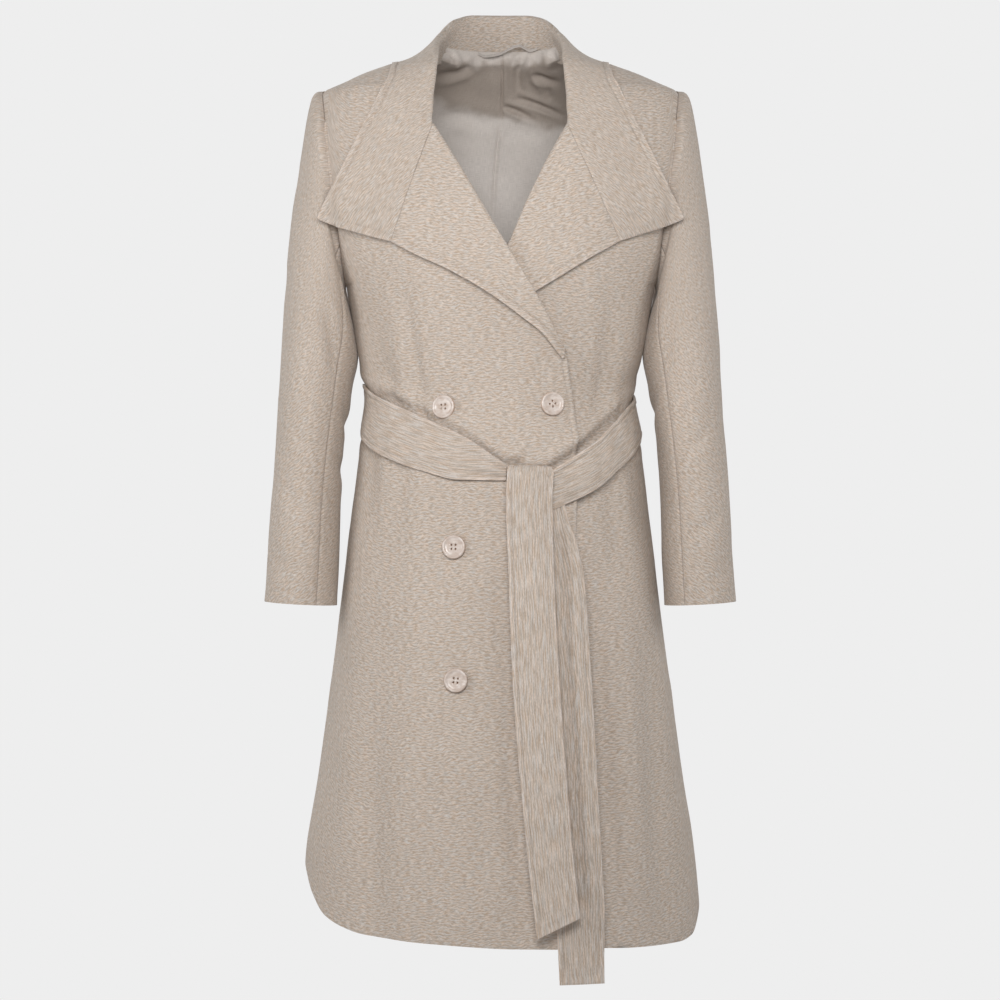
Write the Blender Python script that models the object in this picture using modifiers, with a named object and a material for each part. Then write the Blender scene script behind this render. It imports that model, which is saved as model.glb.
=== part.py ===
"""Belted double-breasted overcoat, hollow and filled out as if worn.

Metres, +Z up. The front faces -Y and +X is the wearer's left side.
The origin is the middle of the neck at shoulder height.
side is -1 for the wearer's right half and +1 for the wearer's left half.
"""

import math

import bmesh
import bpy
import numpy as np

OBJECT_NAME = "belted_overcoat"

# Cloth and gaps
CLOTH = 0.0024
BELT_CLOTH = 0.0030
LINING_CLOTH = 0.0010
TAPE_CLOTH = 0.0012
SEAM_HALF = 0.00025
LAYER_GAP = 0.0007
LAPEL_GAP = 0.0014
COLLAR_GAP = 0.0058
LINING_GAP = 0.0032
ARMHOLE_GAP = 0.0009

# Levels
NECK_TOP = 0.0120
SHOULDER_TIP = -0.0350
UNDERARM = -0.2650
WAIST = -0.4000
HEM = -1.0300

# Shoulder ridge and armhole
RIDGE_NECK_X = 0.0997
RIDGE_NECK_Z = 0.0035
TIP_X = 0.2095
UNDERARM_X = 0.1820
ARMHOLE_MIDDLE = (SHOULDER_TIP + UNDERARM) / 2
ARMHOLE_HALF = (SHOULDER_TIP - UNDERARM) / 2
ARMHOLE_FRONT = 0.060
ARMHOLE_BACK = 0.066

# Lift of the wearer's right front where it lies over the left one
OVERLAP_LIFT = 0.0085
LIFT_FADE_X = (0.090, 0.150)
LIFT_FADE_Z = (-0.200, -0.090)

# Grid counts
FRONT_COLUMNS = 11
BACK_COLUMNS = 16
SKIRT_ROWS = 8
WAIST_ROWS = 4
ARMHOLE_ROWS = 7
SHOULDER_ROWS = 4
LAPEL_ROWS = 10
LAPEL_COLUMNS = 5
COLLAR_STEPS = 2
FALL_ROWS = 5
SLEEVE_STEPS = 2
BELT_COLUMNS = 44
TAIL_ROWS = 14
EDGE_SHARE = 0.94
SLOPE_STEP = 0.001
MOST_SLOPE = 2.5

# Body sections, from the hem up
TORSO_COLUMNS = ("z", "half_width", "front", "back", "roundness", "edge_power")
TORSO = (
    (-1.0400, 0.2385, 0.1700, 0.1760, 2.10, 0.48),
    (-0.9850, 0.2340, 0.1660, 0.1720, 2.10, 0.48),
    (-0.9200, 0.2277, 0.1610, 0.1670, 2.10, 0.48),
    (-0.8470, 0.2162, 0.1540, 0.1600, 2.10, 0.48),
    (-0.6580, 0.1900, 0.1370, 0.1430, 2.10, 0.48),
    (-0.5450, 0.1764, 0.1270, 0.1330, 2.10, 0.48),
    (-0.4555, 0.1650, 0.1160, 0.1230, 2.10, 0.48),
    (-0.4000, 0.1540, 0.1080, 0.1140, 2.10, 0.48),
    (-0.3520, 0.1660, 0.1140, 0.1180, 2.15, 0.48),
    (-0.3020, 0.1745, 0.1240, 0.1240, 2.20, 0.50),
    (-0.2650, 0.1820, 0.1300, 0.1275, 2.20, 0.54),
    (-0.1960, 0.1903, 0.1290, 0.1310, 2.20, 0.72),
    (-0.1370, 0.1973, 0.1200, 0.1320, 2.20, 0.76),
    (-0.0800, 0.2041, 0.1060, 0.1260, 2.20, 0.70),
    (-0.0350, 0.2095, 0.0880, 0.1100, 2.20, 0.55),
    (0.0035, 0.0997, 0.0640, 0.0840, 2.20, 0.50),
    (0.0160, 0.0633, 0.0480, 0.0720, 2.20, 0.50),
)

# Hem height by angle from the centre line, in degrees
HEM_COLUMNS = ("angle", "right", "left")
HEM_CURVE = (
    (0.0, -1.0175, -1.0175),
    (25.0, -1.0120, -1.0200),
    (40.0, -1.0095, -1.0225),
    (50.0, -1.0030, -1.0235),
    (60.0, -0.9925, -1.0235),
    (70.0, -0.9710, -1.0190),
    (80.0, -0.9490, -1.0000),
    (90.0, -0.9380, -0.9850),
)

# The covered edge of the left front is cut shorter
UNDERLAP_RISE = 0.006
UNDERLAP_FADE = (5.0, 20.0)

# Inner edge of each front, measured outwards from the centre line
INNER_COLUMNS = ("z", "right", "left")
INNER_EDGE = (
    (-1.0400, -0.0830, -0.0800),
    (-0.6000, -0.0845, -0.0800),
    (-0.4529, -0.0884, -0.0800),
    (-0.4200, -0.0850, -0.0790),
    (-0.3856, -0.0800, -0.0770),
    (-0.3480, -0.0735, -0.0640),
    (-0.3130, -0.0570, -0.0460),
    (-0.2796, -0.0390, -0.0260),
    (-0.2550, -0.0240, -0.0100),
    (-0.2280, -0.0073, 0.0074),
    (-0.1804, 0.0209, 0.0280),
    (-0.1305, 0.0493, 0.0518),
    (-0.0938, 0.0735, 0.0720),
    (-0.0860, 0.0768, 0.0759),
    (-0.0555, 0.0780, 0.0780),
    (-0.0151, 0.0765, 0.0765),
    (0.0120, 0.0725, 0.0725),
)

# Largest folds of the fronts: depth is positive for a trough
FOLD_COLUMNS = ("top_x", "top_z", "foot_x", "foot_z", "width", "depth")
FOLDS = (
    (-0.1122, -0.2500, -0.0886, -0.4300, 0.018, 0.0050),
    (0.1193, -0.2500, 0.1133, -0.4300, 0.018, 0.0050),
    (-0.1480, -0.7000, -0.1460, -1.0600, 0.022, 0.0050),
    (-0.0900, -0.6500, -0.0950, -1.0600, 0.026, -0.0030),
    (0.1250, -0.6000, 0.1400, -1.0600, 0.022, -0.0050),
    (0.1600, -0.6500, 0.1850, -1.0600, 0.020, 0.0040),
)
FOLD_END_POWER = 0.7
FOLD_SIDE_FADE = 2.0

# Lapels: roll line and outer edge, from the break up to the gorge seam
LAPEL_TABLE = ("share", "roll_x", "roll_z", "edge_x", "edge_z")
LAPEL_RIGHT = (
    (0.00, 0.0735, -0.3460, 0.0725, -0.3550),
    (0.15, 0.0570, -0.3130, 0.0504, -0.3299),
    (0.30, 0.0390, -0.2796, 0.0260, -0.3020),
    (0.50, 0.0073, -0.2280, -0.0150, -0.2650),
    (0.70, -0.0209, -0.1804, -0.0600, -0.2420),
    (0.85, -0.0493, -0.1305, -0.0950, -0.2300),
    (1.00, -0.0768, -0.0855, -0.1255, -0.2225),
)
LAPEL_LEFT = (
    (0.00, -0.0100, -0.2550, 0.0080, -0.3000),
    (0.25, 0.0074, -0.2272, 0.0379, -0.2816),
    (0.50, 0.0300, -0.1760, 0.0700, -0.2620),
    (0.75, 0.0530, -0.1280, 0.1030, -0.2410),
    (1.00, 0.0759, -0.0867, 0.1363, -0.2213),
)
LAPEL_ROLL = 0.0020
LAPEL_ROLL_FADE = 5.0
GORGE_SHARE = 0.006

# Collar ribs from the centre back to the gorge seam, x measured outwards
COLLAR_TABLE = (
    "fold_x", "fold_y", "fold_z", "edge_x", "edge_y", "edge_z", "base_x", "base_y", "base_z", "sag",
)
COLLAR_RIBS = (
    (0.0000, 0.0850, 0.0720, 0.0000, 0.1160, -0.0300, 0.0000, 0.0690, 0.0128, 0.000),
    (0.0300, 0.0800, 0.0715, 0.0480, 0.1100, -0.0300, 0.0310, 0.0640, 0.0128, 0.000),
    (0.0495, 0.0600, 0.0630, 0.0880, 0.0920, -0.0270, 0.0560, 0.0450, 0.0128, 0.002),
    (0.0625, 0.0300, 0.0450, 0.1150, 0.0560, -0.0160, 0.0690, 0.0200, 0.0128, 0.006),
    (0.0690, -0.0050, 0.0280, 0.1268, -0.0020, -0.0015, 0.0725, -0.0050, 0.0150, 0.006),
    (0.0720, -0.0450, 0.0110, 0.1272, -0.0400, -0.0105, 0.0740, -0.0420, 0.0075, 0.003),
    (0.0742, -0.0800, -0.0120, 0.1300, -0.0750, -0.0300, 0.0752, -0.0745, -0.0140, 0.000),
    (0.0771, -0.1020, -0.0540, 0.1842, -0.0872, -0.1392, 0.0765, -0.0975, -0.0540, 0.000),
    (0.0770, -0.1080, -0.0700, 0.2130, -0.0750, -0.1924, 0.0762, -0.1040, -0.0700, 0.000),
    (0.0769, -0.1105, -0.0780, 0.1861, -0.0760, -0.2040, 0.0758, -0.1068, -0.0780, 0.000),
    (0.0768, -0.1125, -0.0855, 0.1300, -0.1100, -0.2225, 0.0752, -0.1090, -0.0855, 0.000),
)
COLLAR_SHOULDER_RIBS = (2.5, 5.5)
SHOULDER_LIFT = 0.0052
SHOULDER_SEARCH = 0.080
SHOULDER_SAMPLES = 80
COLLAR_LAST_BACK_RIB = 3
COLLAR_SEAT = 0.0010
FOLD_RADIUS = 0.0045
LEAST_RISE = 0.0040
TIP_STANDOFF = 0.010
TIP_FADE_X = (0.150, 0.200)

# Sleeve sections from the armhole to the cuff, x measured outwards; half of each seam's gap in degrees
SLEEVE_TABLE = ("outer_x", "outer_z", "inner_x", "inner_z", "middle_y", "half_depth", "half_gap")
SLEEVE = (
    (0.2095, -0.0350, 0.1820, -0.2650, 0.003, 0.0630, 0.30),
    (0.2210, -0.0425, 0.1838, -0.2750, 0.003, 0.0655, 0.90),
    (0.2307, -0.0850, 0.1758, -0.3000, 0.003, 0.0675, 1.90),
    (0.2449, -0.1840, 0.1682, -0.3450, 0.001, 0.0665, 0.60),
    (0.2543, -0.2832, 0.1745, -0.3850, -0.003, 0.0635, 0.25),
    (0.2602, -0.3930, 0.1823, -0.4390, -0.010, 0.0590, 0.25),
    (0.2658, -0.4814, 0.1873, -0.5168, -0.017, 0.0560, 0.25),
    (0.2708, -0.5676, 0.1890, -0.5876, -0.023, 0.0530, 0.25),
    (0.2750, -0.6350, 0.1918, -0.6396, -0.027, 0.0500, 0.25),
)
FRONT_SLEEVE_SEAM = 121.0
BACK_SLEEVE_SEAM = 265.0
SLEEVE_EDGE = 2.5
TOP_SLEEVE_COLUMNS = 9
UNDER_SLEEVE_COLUMNS = 6

# Belt round the waist by angle from the centre front, in degrees
BELT_TABLE = ("angle", "bottom_z", "top_z", "lift")
BELT = (
    (17.3, -0.5290, -0.4850, 0.0130),
    (34.0, -0.5070, -0.4555, 0.0130),
    (52.0, -0.4780, -0.4290, 0.0080),
    (72.0, -0.4560, -0.4080, 0.0026),
    (90.0, -0.4400, -0.3870, 0.0026),
    (130.0, -0.4330, -0.3780, 0.0026),
    (180.0, -0.4310, -0.3760, 0.0026),
    (230.0, -0.4320, -0.3770, 0.0026),
    (270.0, -0.4360, -0.3800, 0.0026),
    (288.0, -0.4480, -0.3900, 0.0036),
    (308.0, -0.4640, -0.4030, 0.0086),
    (330.0, -0.4830, -0.4240, 0.0104),
    (346.0, -0.4940, -0.4440, 0.0100),
    (362.0, -0.4945, -0.4760, 0.0096),
)

# Belt tails from the top down
TAIL_TABLE = ("z", "left_x", "right_x", "lift")
FRONT_TAIL = (
    (-0.4850, 0.0074, 0.0600, 0.0260),
    (-0.5168, 0.0062, 0.0590, 0.0245),
    (-0.5840, 0.0084, 0.0595, 0.0205),
    (-0.7180, 0.0134, 0.0648, 0.0195),
    (-0.8950, 0.0278, 0.0764, 0.0200),
    (-1.0044, 0.0400, 0.0868, 0.0205),
)
FRONT_TAIL_LEFT_END = -1.0044
FRONT_TAIL_RIGHT_END = -0.9825
FRONT_TAIL_TOP = -0.4790
FRONT_TAIL_BACK = ((-0.5150, 0.0127), (-0.4930, 0.0131))
FRONT_TAIL_BACK_X = (0.0100, 0.0530)
UNDER_TAIL = (
    (-0.5080, 0.0180, 0.0700, 0.0092),
    (-0.5462, 0.0260, 0.0786, 0.0092),
    (-0.6027, 0.0380, 0.0910, 0.0092),
    (-0.6984, 0.0450, 0.0987, 0.0092),
    (-0.7868, 0.0510, 0.1041, 0.0092),
    (-0.8981, 0.0570, 0.1099, 0.0092),
    (-1.0001, 0.0630, 0.1160, 0.0092),
    (-1.0580, 0.0660, 0.1165, 0.0092),
)
TAIL_COLUMNS = 2

# Buttons: place of the middle on the wearer's right front
BUTTON_TABLE = ("name", "x", "z")
BUTTONS = (
    ("button_upper_right", -0.0644, -0.4108),
    ("button_upper_left", 0.0587, -0.4074),
    ("button_middle", -0.0526, -0.5700),
    ("button_lower", -0.0501, -0.7200),
)
BUTTON_RADIUS = 0.0137
BUTTON_SEAT = 0.0010
BUTTON_STEPS = 32
MERGE_DISTANCE = 0.00001
BUTTON_PROFILE = (
    (0.0000, 0.0000),
    (0.0122, 0.0000),
    (0.0137, 0.0012),
    (0.0137, 0.0028),
    (0.0128, 0.0040),
    (0.0112, 0.0042),
    (0.0098, 0.0032),
    (0.0000, 0.0028),
)
HOLE_COUNT = 4
FIRST_HOLE = 45.0
HOLE_RADIUS = 0.0012
HOLE_OFFSET = 0.0024
HOLE_LENGTH = 0.0120
HOLE_STEPS = 10

# Back lining that shows in the neck opening
LINING_TABLE = ("z", "half_width")
LINING = (
    (-0.3400, 0.1000),
    (-0.2600, 0.1080),
    (-0.1800, 0.1250),
    (-0.1000, 0.1280),
    (-0.0500, 0.1100),
    (-0.0200, 0.1000),
    (0.0000, 0.0860),
    (0.0120, 0.0580),
)
LINING_TOP = 0.0235
LINING_ROWS = 9
LINING_COLUMNS = 10

# Hanger loop at the back neck
LOOP_TABLE = ("x", "z")
LOOP = (
    (-0.0271, 0.0209),
    (-0.0174, 0.0173),
    (-0.0040, 0.0190),
    (0.0223, 0.0293),
    (0.0367, 0.0235),
    (0.0439, 0.0257),
)
LOOP_WIDTH = 0.0055
LOOP_BOW = 0.0060
LOOP_GAP = 0.0060
LOOP_COLUMNS = 14

# Colour, roughness and metallic of each look
LOOKS = {
    "wool_cloth": ((0.540, 0.455, 0.372, 1.0), 0.92, 0.0),
    "lining_satin": ((0.420, 0.385, 0.355, 1.0), 0.45, 0.0),
    "loop_tape": ((0.455, 0.415, 0.380, 1.0), 0.50, 0.0),
    "button_pearl": ((0.790, 0.680, 0.600, 1.0), 0.25, 0.0),
}


def column(names, rows, name):
    place = names.index(name)
    return np.array([row[place] for row in rows], dtype=float)


def smooth(places, values, at):
    """A smooth curve through the values that never swings past them."""
    places = np.asarray(places, dtype=float)
    values = np.asarray(values, dtype=float)
    gaps = np.diff(places)
    slopes = np.diff(values) / gaps
    product = slopes[:-1] * slopes[1:]
    total = np.where(product > 0, slopes[:-1] + slopes[1:], 1.0)
    tangents = np.empty(len(places))
    tangents[0] = slopes[0]
    tangents[-1] = slopes[-1]
    tangents[1:-1] = np.where(product > 0, 2 * product / total, 0.0)
    at = np.clip(at, places[0], places[-1])
    low = np.clip(np.searchsorted(places, at, side="right") - 1, 0, len(places) - 2)
    share = (at - places[low]) / gaps[low]
    rest = 1 - share
    from_values = (1 + 2 * share) * rest**2 * values[low] + share**2 * (3 - 2 * share) * values[low + 1]
    from_tangents = share * rest**2 * tangents[low] - share**2 * rest * tangents[low + 1]
    return from_values + from_tangents * gaps[low]


def straight(places, values, at):
    return np.interp(at, places, values)


def read(names, rows, name, at):
    """The named column as a smooth curve of the table's first column."""
    return smooth(column(names, rows, names[0]), column(names, rows, name), at)


def ease(low, high, at):
    share = np.clip((np.asarray(at, dtype=float) - low) / (high - low), 0, 1)
    return share * share * (3 - 2 * share)


def half_width(z):
    """Half the body's width, up the side, the armhole and the shoulder ridge."""
    z = np.asarray(z, dtype=float)
    armhole = UNDERARM_X + (z - UNDERARM) * (TIP_X - UNDERARM_X) / (SHOULDER_TIP - UNDERARM)
    ridge_run = (TIP_X - RIDGE_NECK_X) / (RIDGE_NECK_Z - SHOULDER_TIP)
    ridge = RIDGE_NECK_X + (RIDGE_NECK_Z - z) * ridge_run
    below = read(TORSO_COLUMNS, TORSO, "half_width", z)
    lower = np.where(z > UNDERARM, armhole, below)
    return np.where(z > SHOULDER_TIP, ridge, lower)


def armhole_depth(z, depth):
    share = np.clip((np.asarray(z, dtype=float) - ARMHOLE_MIDDLE) / ARMHOLE_HALF, -1, 1)
    return depth * np.sqrt(1 - share**2)


def section_shape(x, z):
    share = np.clip(np.abs(x) / half_width(z), 0, 1)
    roundness = read(TORSO_COLUMNS, TORSO, "roundness", z)
    power = read(TORSO_COLUMNS, TORSO, "edge_power", z)
    return (1 - share**roundness) ** power


def fold_depth(x, z):
    total = np.zeros(np.broadcast(x, z).shape)
    for top_x, top_z, foot_x, foot_z, width, depth in FOLDS:
        share = np.clip((top_z - z) / (top_z - foot_z), 0, 1)
        middle = top_x + (foot_x - top_x) * share
        along = np.sin(np.pi * share) ** FOLD_END_POWER
        total = total + depth * along * np.exp(-(((x - middle) / width) ** 2))
    return total


def front_depth(x, z):
    """How far the front lies before the middle plane."""
    armhole = armhole_depth(z, ARMHOLE_FRONT)
    deepest = read(TORSO_COLUMNS, TORSO, "front", z)
    shape = section_shape(x, z)
    return armhole + (deepest - armhole) * shape - fold_depth(x, z) * np.clip(FOLD_SIDE_FADE * shape, 0, 1)


def back_depth(x, z):
    """How far the back lies behind the middle plane."""
    armhole = armhole_depth(z, ARMHOLE_BACK)
    deepest = read(TORSO_COLUMNS, TORSO, "back", z)
    return armhole + (deepest - armhole) * section_shape(x, z)


def slope(depth, x, z):
    """How much longer a step straight out is than a step square to the cloth."""
    along_x = (depth(x + SLOPE_STEP, z) - depth(x - SLOPE_STEP, z)) / (2 * SLOPE_STEP)
    along_z = (depth(x, z + SLOPE_STEP) - depth(x, z - SLOPE_STEP)) / (2 * SLOPE_STEP)
    return np.minimum(np.sqrt(1 + along_x**2 + along_z**2), MOST_SLOPE)


def overlap(side, x, z):
    """Extra lift of the front that lies on top."""
    if side > 0:
        return np.zeros(np.broadcast(x, z).shape)
    across = 1 - ease(LIFT_FADE_X[0], LIFT_FADE_X[1], -np.asarray(x))
    return OVERLAP_LIFT * across * (1 - ease(LIFT_FADE_Z[0], LIFT_FADE_Z[1], z))


def on_front(side, x, z, lift):
    """Points over the front at x and z, lifted square to the cloth."""
    depth = front_depth(x, z) + (overlap(side, x, z) + lift) * slope(front_depth, x, z)
    return np.stack(np.broadcast_arrays(x, -depth, z), axis=-1)


def on_back(x, z, lift):
    depth = back_depth(x, z) + lift * slope(back_depth, x, z)
    return np.stack(np.broadcast_arrays(x, depth, z), axis=-1)


def inside_back(x, z, inset):
    """Points inside the back, moved in square to the cloth."""
    along_x = (back_depth(x + SLOPE_STEP, z) - back_depth(x - SLOPE_STEP, z)) / (2 * SLOPE_STEP)
    along_z = (back_depth(x, z + SLOPE_STEP) - back_depth(x, z - SLOPE_STEP)) / (2 * SLOPE_STEP)
    step = inset / np.sqrt(1 + along_x**2 + along_z**2)
    return np.stack([x + step * along_x, back_depth(x, z) - step, z + step * along_z], axis=-1)


def body_levels():
    """Heights of the panel rows, the same for the fronts and the back."""
    skirt = np.linspace(HEM, WAIST, SKIRT_ROWS + 1)[:-1]
    bodice = np.linspace(WAIST, UNDERARM, WAIST_ROWS + 1)[:-1]
    turn = np.linspace(math.pi, 0, ARMHOLE_ROWS + 1)[:-1]
    armhole = ARMHOLE_MIDDLE + ARMHOLE_HALF * np.cos(turn)
    shoulder = np.linspace(SHOULDER_TIP, NECK_TOP, SHOULDER_ROWS + 1)
    return np.concatenate([skirt, bodice, armhole, shoulder])


def hem_drop(turn, level, rise):
    """The row height once the curved hem has drawn the skirt rows up. turn is negative to the right."""
    from_middle = np.degrees(np.abs(turn))
    right = read(HEM_COLUMNS, HEM_CURVE, "right", from_middle)
    left = read(HEM_COLUMNS, HEM_CURVE, "left", from_middle)
    hem = np.where(turn < 0, right, left) + rise
    stretched = WAIST + (level - WAIST) * (WAIST - hem) / (WAIST - HEM)
    return np.where(level < WAIST, stretched, level)


def edge_shares(count):
    """Even shares with a narrow last step, so that the edge face lies along the seam."""
    return np.concatenate([np.linspace(0, EDGE_SHARE, count), [1.0]])


def front_panel(side):
    levels = body_levels()[:, None]
    name = "right" if side < 0 else "left"
    inner = read(INNER_COLUMNS, INNER_EDGE, name, levels)
    first = np.arcsin(np.clip(inner / half_width(levels), -1, 1))
    angle = first + (math.pi / 2 - first) * edge_shares(FRONT_COLUMNS)[None, :]
    covered = 1 - ease(UNDERLAP_FADE[0], UNDERLAP_FADE[1], np.degrees(angle))
    rise = UNDERLAP_RISE * covered if side > 0 else 0 * angle
    z = hem_drop(side * angle, levels + 0 * angle, rise)
    x = side * half_width(z) * np.sin(angle)
    points = on_front(side, x, z, 0.0)
    points[..., 1] -= SEAM_HALF
    return points if side > 0 else points[:, ::-1]


def back_panel():
    levels = body_levels()[:, None]
    half = edge_shares(BACK_COLUMNS // 2)
    angle = math.pi / 2 * np.concatenate([half[::-1], -half[1:]])[None, :]
    z = hem_drop(angle, levels + 0 * angle, 0 * angle)
    points = on_back(half_width(z) * np.sin(angle), z, 0.0)
    points[..., 1] += SEAM_HALF
    return points


def lapel(side):
    rows = LAPEL_RIGHT if side < 0 else LAPEL_LEFT
    share = np.linspace(0, 1 - GORGE_SHARE, LAPEL_ROWS + 1)[:, None]
    across = np.linspace(0, 1, LAPEL_COLUMNS + 1)[None, :]
    roll_x = read(LAPEL_TABLE, rows, "roll_x", share)
    roll_z = read(LAPEL_TABLE, rows, "roll_z", share)
    edge_x = read(LAPEL_TABLE, rows, "edge_x", share)
    edge_z = read(LAPEL_TABLE, rows, "edge_z", share)
    x = roll_x + (edge_x - roll_x) * across
    z = roll_z + (edge_z - roll_z) * across
    lift = CLOTH + LAPEL_GAP + LAPEL_ROLL * np.exp(-across * LAPEL_ROLL_FADE) * share
    points = on_front(side, x, z, lift)
    return points[:, ::-1] if side < 0 else points


def gorge_point(side, end, axis):
    """Where the gorge seam starts on the roll line or ends on the outer edge, x measured outwards."""
    rows = LAPEL_RIGHT if side < 0 else LAPEL_LEFT
    name = ("roll_" if end == "fold" else "edge_") + axis
    value = column(LAPEL_TABLE, rows, name)[-1]
    return side * value if axis == "x" else value


def collar_ribs(side):
    """Base, fold and edge points of the collar's ribs on one side, from the back to the gorge."""
    count = len(COLLAR_RIBS)
    places = np.arange(count)
    fine = np.linspace(0, count - 1, COLLAR_STEPS * (count - 1) + 1)
    found = {}
    for end in ("base", "fold", "edge"):
        way = straight if end == "edge" else smooth
        axes = []
        for axis in "xyz":
            values = column(COLLAR_TABLE, COLLAR_RIBS, end + "_" + axis)
            if end != "base" and axis != "y":
                values[-1] = gorge_point(side, end, axis)
            axes.append(way(places, values, fine))
        found[end] = np.stack(axes, axis=-1)
    found["place"] = fine
    behind = fine <= COLLAR_LAST_BACK_RIB
    found["base"][behind] = on_back(found["base"][behind, 0], np.full(behind.sum(), NECK_TOP), 0.0)
    found["base"][behind] += np.array((0, -CLOTH / 2, COLLAR_SEAT))
    for end in ("base", "fold", "edge"):
        found[end][:, 0] *= side
    found["sag"] = smooth(places, column(COLLAR_TABLE, COLLAR_RIBS, "sag"), fine)
    return found


def collar_half(side):
    """Rows of points from the neck seam over the fold to the outer edge, one row for each rib."""
    ribs = collar_ribs(side)
    turn = np.linspace(-0.5, 0.5, 3) * math.pi
    fall = np.linspace(0, 1, FALL_ROWS + 1)[1:]
    out = []
    names = ("base", "fold", "edge", "place", "sag")
    for base, fold, edge, place, sag in zip(*(ribs[name] for name in names)):
        outward = edge - base
        outward[2] = 0
        outward /= np.linalg.norm(outward)
        rise = fold[2] - base[2]
        radius = min(FOLD_RADIUS, max(abs(rise), LEAST_RISE) / 2)
        middle = fold - np.array((0, 0, radius))
        crest = []
        for angle in turn:
            over = np.array((0, 0, radius * math.cos(angle)))
            crest.append(middle + outward * radius * (1 + math.sin(angle)) + over)
        line = [base, (base + crest[0]) / 2] + crest
        for share in fall:
            drop = np.array((0, 0, 4 * sag * share * (1 - share)))
            line.append(crest[-1] + (edge - crest[-1]) * share - drop)
        points = np.array(line)
        first_fall = len(line) - len(fall)
        points[first_fall:] = clear_of_body(side, points[first_fall:], place)
        out.append(points)
    return np.array(out)


def shoulder_height(x, y):
    """Height of the shoulder cloth at x and y."""
    depth = front_depth if y < 0 else back_depth
    ridge_run = (TIP_X - RIDGE_NECK_X) / (RIDGE_NECK_Z - SHOULDER_TIP)
    ridge = RIDGE_NECK_Z - (abs(x) - RIDGE_NECK_X) / ridge_run
    levels = np.linspace(ridge, ridge - SHOULDER_SEARCH, SHOULDER_SAMPLES)
    return np.interp(abs(y), depth(np.full(SHOULDER_SAMPLES, x), levels), levels)


def clear_of_body(side, points, place):
    """Moves the collar's fall out until it lies over the body."""
    if COLLAR_SHOULDER_RIBS[0] <= place <= COLLAR_SHOULDER_RIBS[1]:
        for point in points:
            point[2] = max(point[2], shoulder_height(point[0], point[1]) + SHOULDER_LIFT)
        return points
    is_front = place > COLLAR_SHOULDER_RIBS[1]
    x = points[:, 0]
    z = np.minimum(points[:, 2], NECK_TOP)
    inside = np.abs(x) < half_width(z) + LAYER_GAP
    lift = CLOTH + COLLAR_GAP
    if is_front:
        standoff = TIP_STANDOFF * ease(TIP_FADE_X[0], TIP_FADE_X[1], np.abs(x))
        surface = on_front(side, x, z, lift)[:, 1] - standoff
        points[:, 1] = np.where(inside, np.minimum(points[:, 1], surface), points[:, 1])
    else:
        surface = on_back(x, z, lift)[:, 1]
        points[:, 1] = np.where(inside, np.maximum(points[:, 1], surface), points[:, 1])
    return points


def collar():
    right = collar_half(-1)
    left = collar_half(1)
    ribs = np.concatenate([right[::-1], left[1:]])
    return np.swapaxes(ribs, 0, 1)


def seam_angles(first, last, half_gap, columns):
    """Angles between two seams, with a narrow step at each so that the edge faces lie along them."""
    first = first + half_gap
    last = last - half_gap
    shares = np.linspace(0, 1, columns - 1)[None, :]
    inner = first + SLEEVE_EDGE + (last - first - 2 * SLEEVE_EDGE) * shares
    return np.concatenate([first, inner, last], axis=1)


def sleeve(side, first, last, columns):
    """Sleeve points between two seam angles, from the cuff up. 0 is the outer line and 90 the front."""
    count = len(SLEEVE)
    fine = np.linspace(count - 1, 0, SLEEVE_STEPS * (count - 1) + 1)
    section = {}
    for name in SLEEVE_TABLE:
        section[name] = smooth(np.arange(count), column(SLEEVE_TABLE, SLEEVE, name), fine)[:, None]
    turn = np.radians(seam_angles(first, last, section["half_gap"], columns))
    middle_x = (section["outer_x"] + section["inner_x"]) / 2
    middle_z = (section["outer_z"] + section["inner_z"]) / 2
    reach_x = (section["outer_x"] - section["inner_x"]) / 2
    reach_z = (section["outer_z"] - section["inner_z"]) / 2
    x = side * (middle_x + reach_x * np.cos(turn) + ARMHOLE_GAP)
    y = section["middle_y"] - section["half_depth"] * np.sin(turn)
    z = middle_z + reach_z * np.cos(turn)
    points = np.stack(np.broadcast_arrays(x, y, z), axis=-1)
    return points if side < 0 else points[:, ::-1]


def belt_point(angle, z, lift):
    """A point out from the body's ring at an angle from the centre front."""
    across = np.sin(angle)
    width = half_width(z)
    x = (width + lift) * across
    shape = section_shape(width * across, z)
    is_front = np.cos(angle) > 0
    front = -(front_depth(width * across, z) + lift * shape)
    back = back_depth(width * across, z) + lift * shape
    return np.stack([x, np.where(is_front, front, back), z], axis=-1)


def belt_round_waist():
    angles = column(BELT_TABLE, BELT, "angle")
    fine = np.linspace(angles[0], angles[-1], BELT_COLUMNS + 1)
    bottom = read(BELT_TABLE, BELT, "bottom_z", fine)
    top = read(BELT_TABLE, BELT, "top_z", fine)
    lift = read(BELT_TABLE, BELT, "lift", fine) + BELT_CLOTH
    rows = []
    for share in np.linspace(0, 1, TAIL_COLUMNS + 1):
        rows.append(belt_point(np.radians(fine), bottom + (top - bottom) * share, lift))
    return np.array(rows)


def tail_points(rows, z, left_z, right_z):
    """Rows of points across a hanging belt end, its lower edge slanted from left_z to right_z."""
    upward = rows[::-1]
    lowest = upward[0][0]
    top = upward[-1][0]
    across = np.linspace(0, 1, TAIL_COLUMNS + 1)
    out = []
    for level in z:
        left = read(TAIL_TABLE, upward, "left_x", level)
        right = read(TAIL_TABLE, upward, "right_x", level)
        lift = read(TAIL_TABLE, upward, "lift", level)
        share = (level - top) / (lowest - top)
        x = left + (right - left) * across
        end = left_z + (right_z - left_z) * across
        out.append(on_front(1, x, top + (end - top) * share, lift + BELT_CLOTH))
    return out


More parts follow.
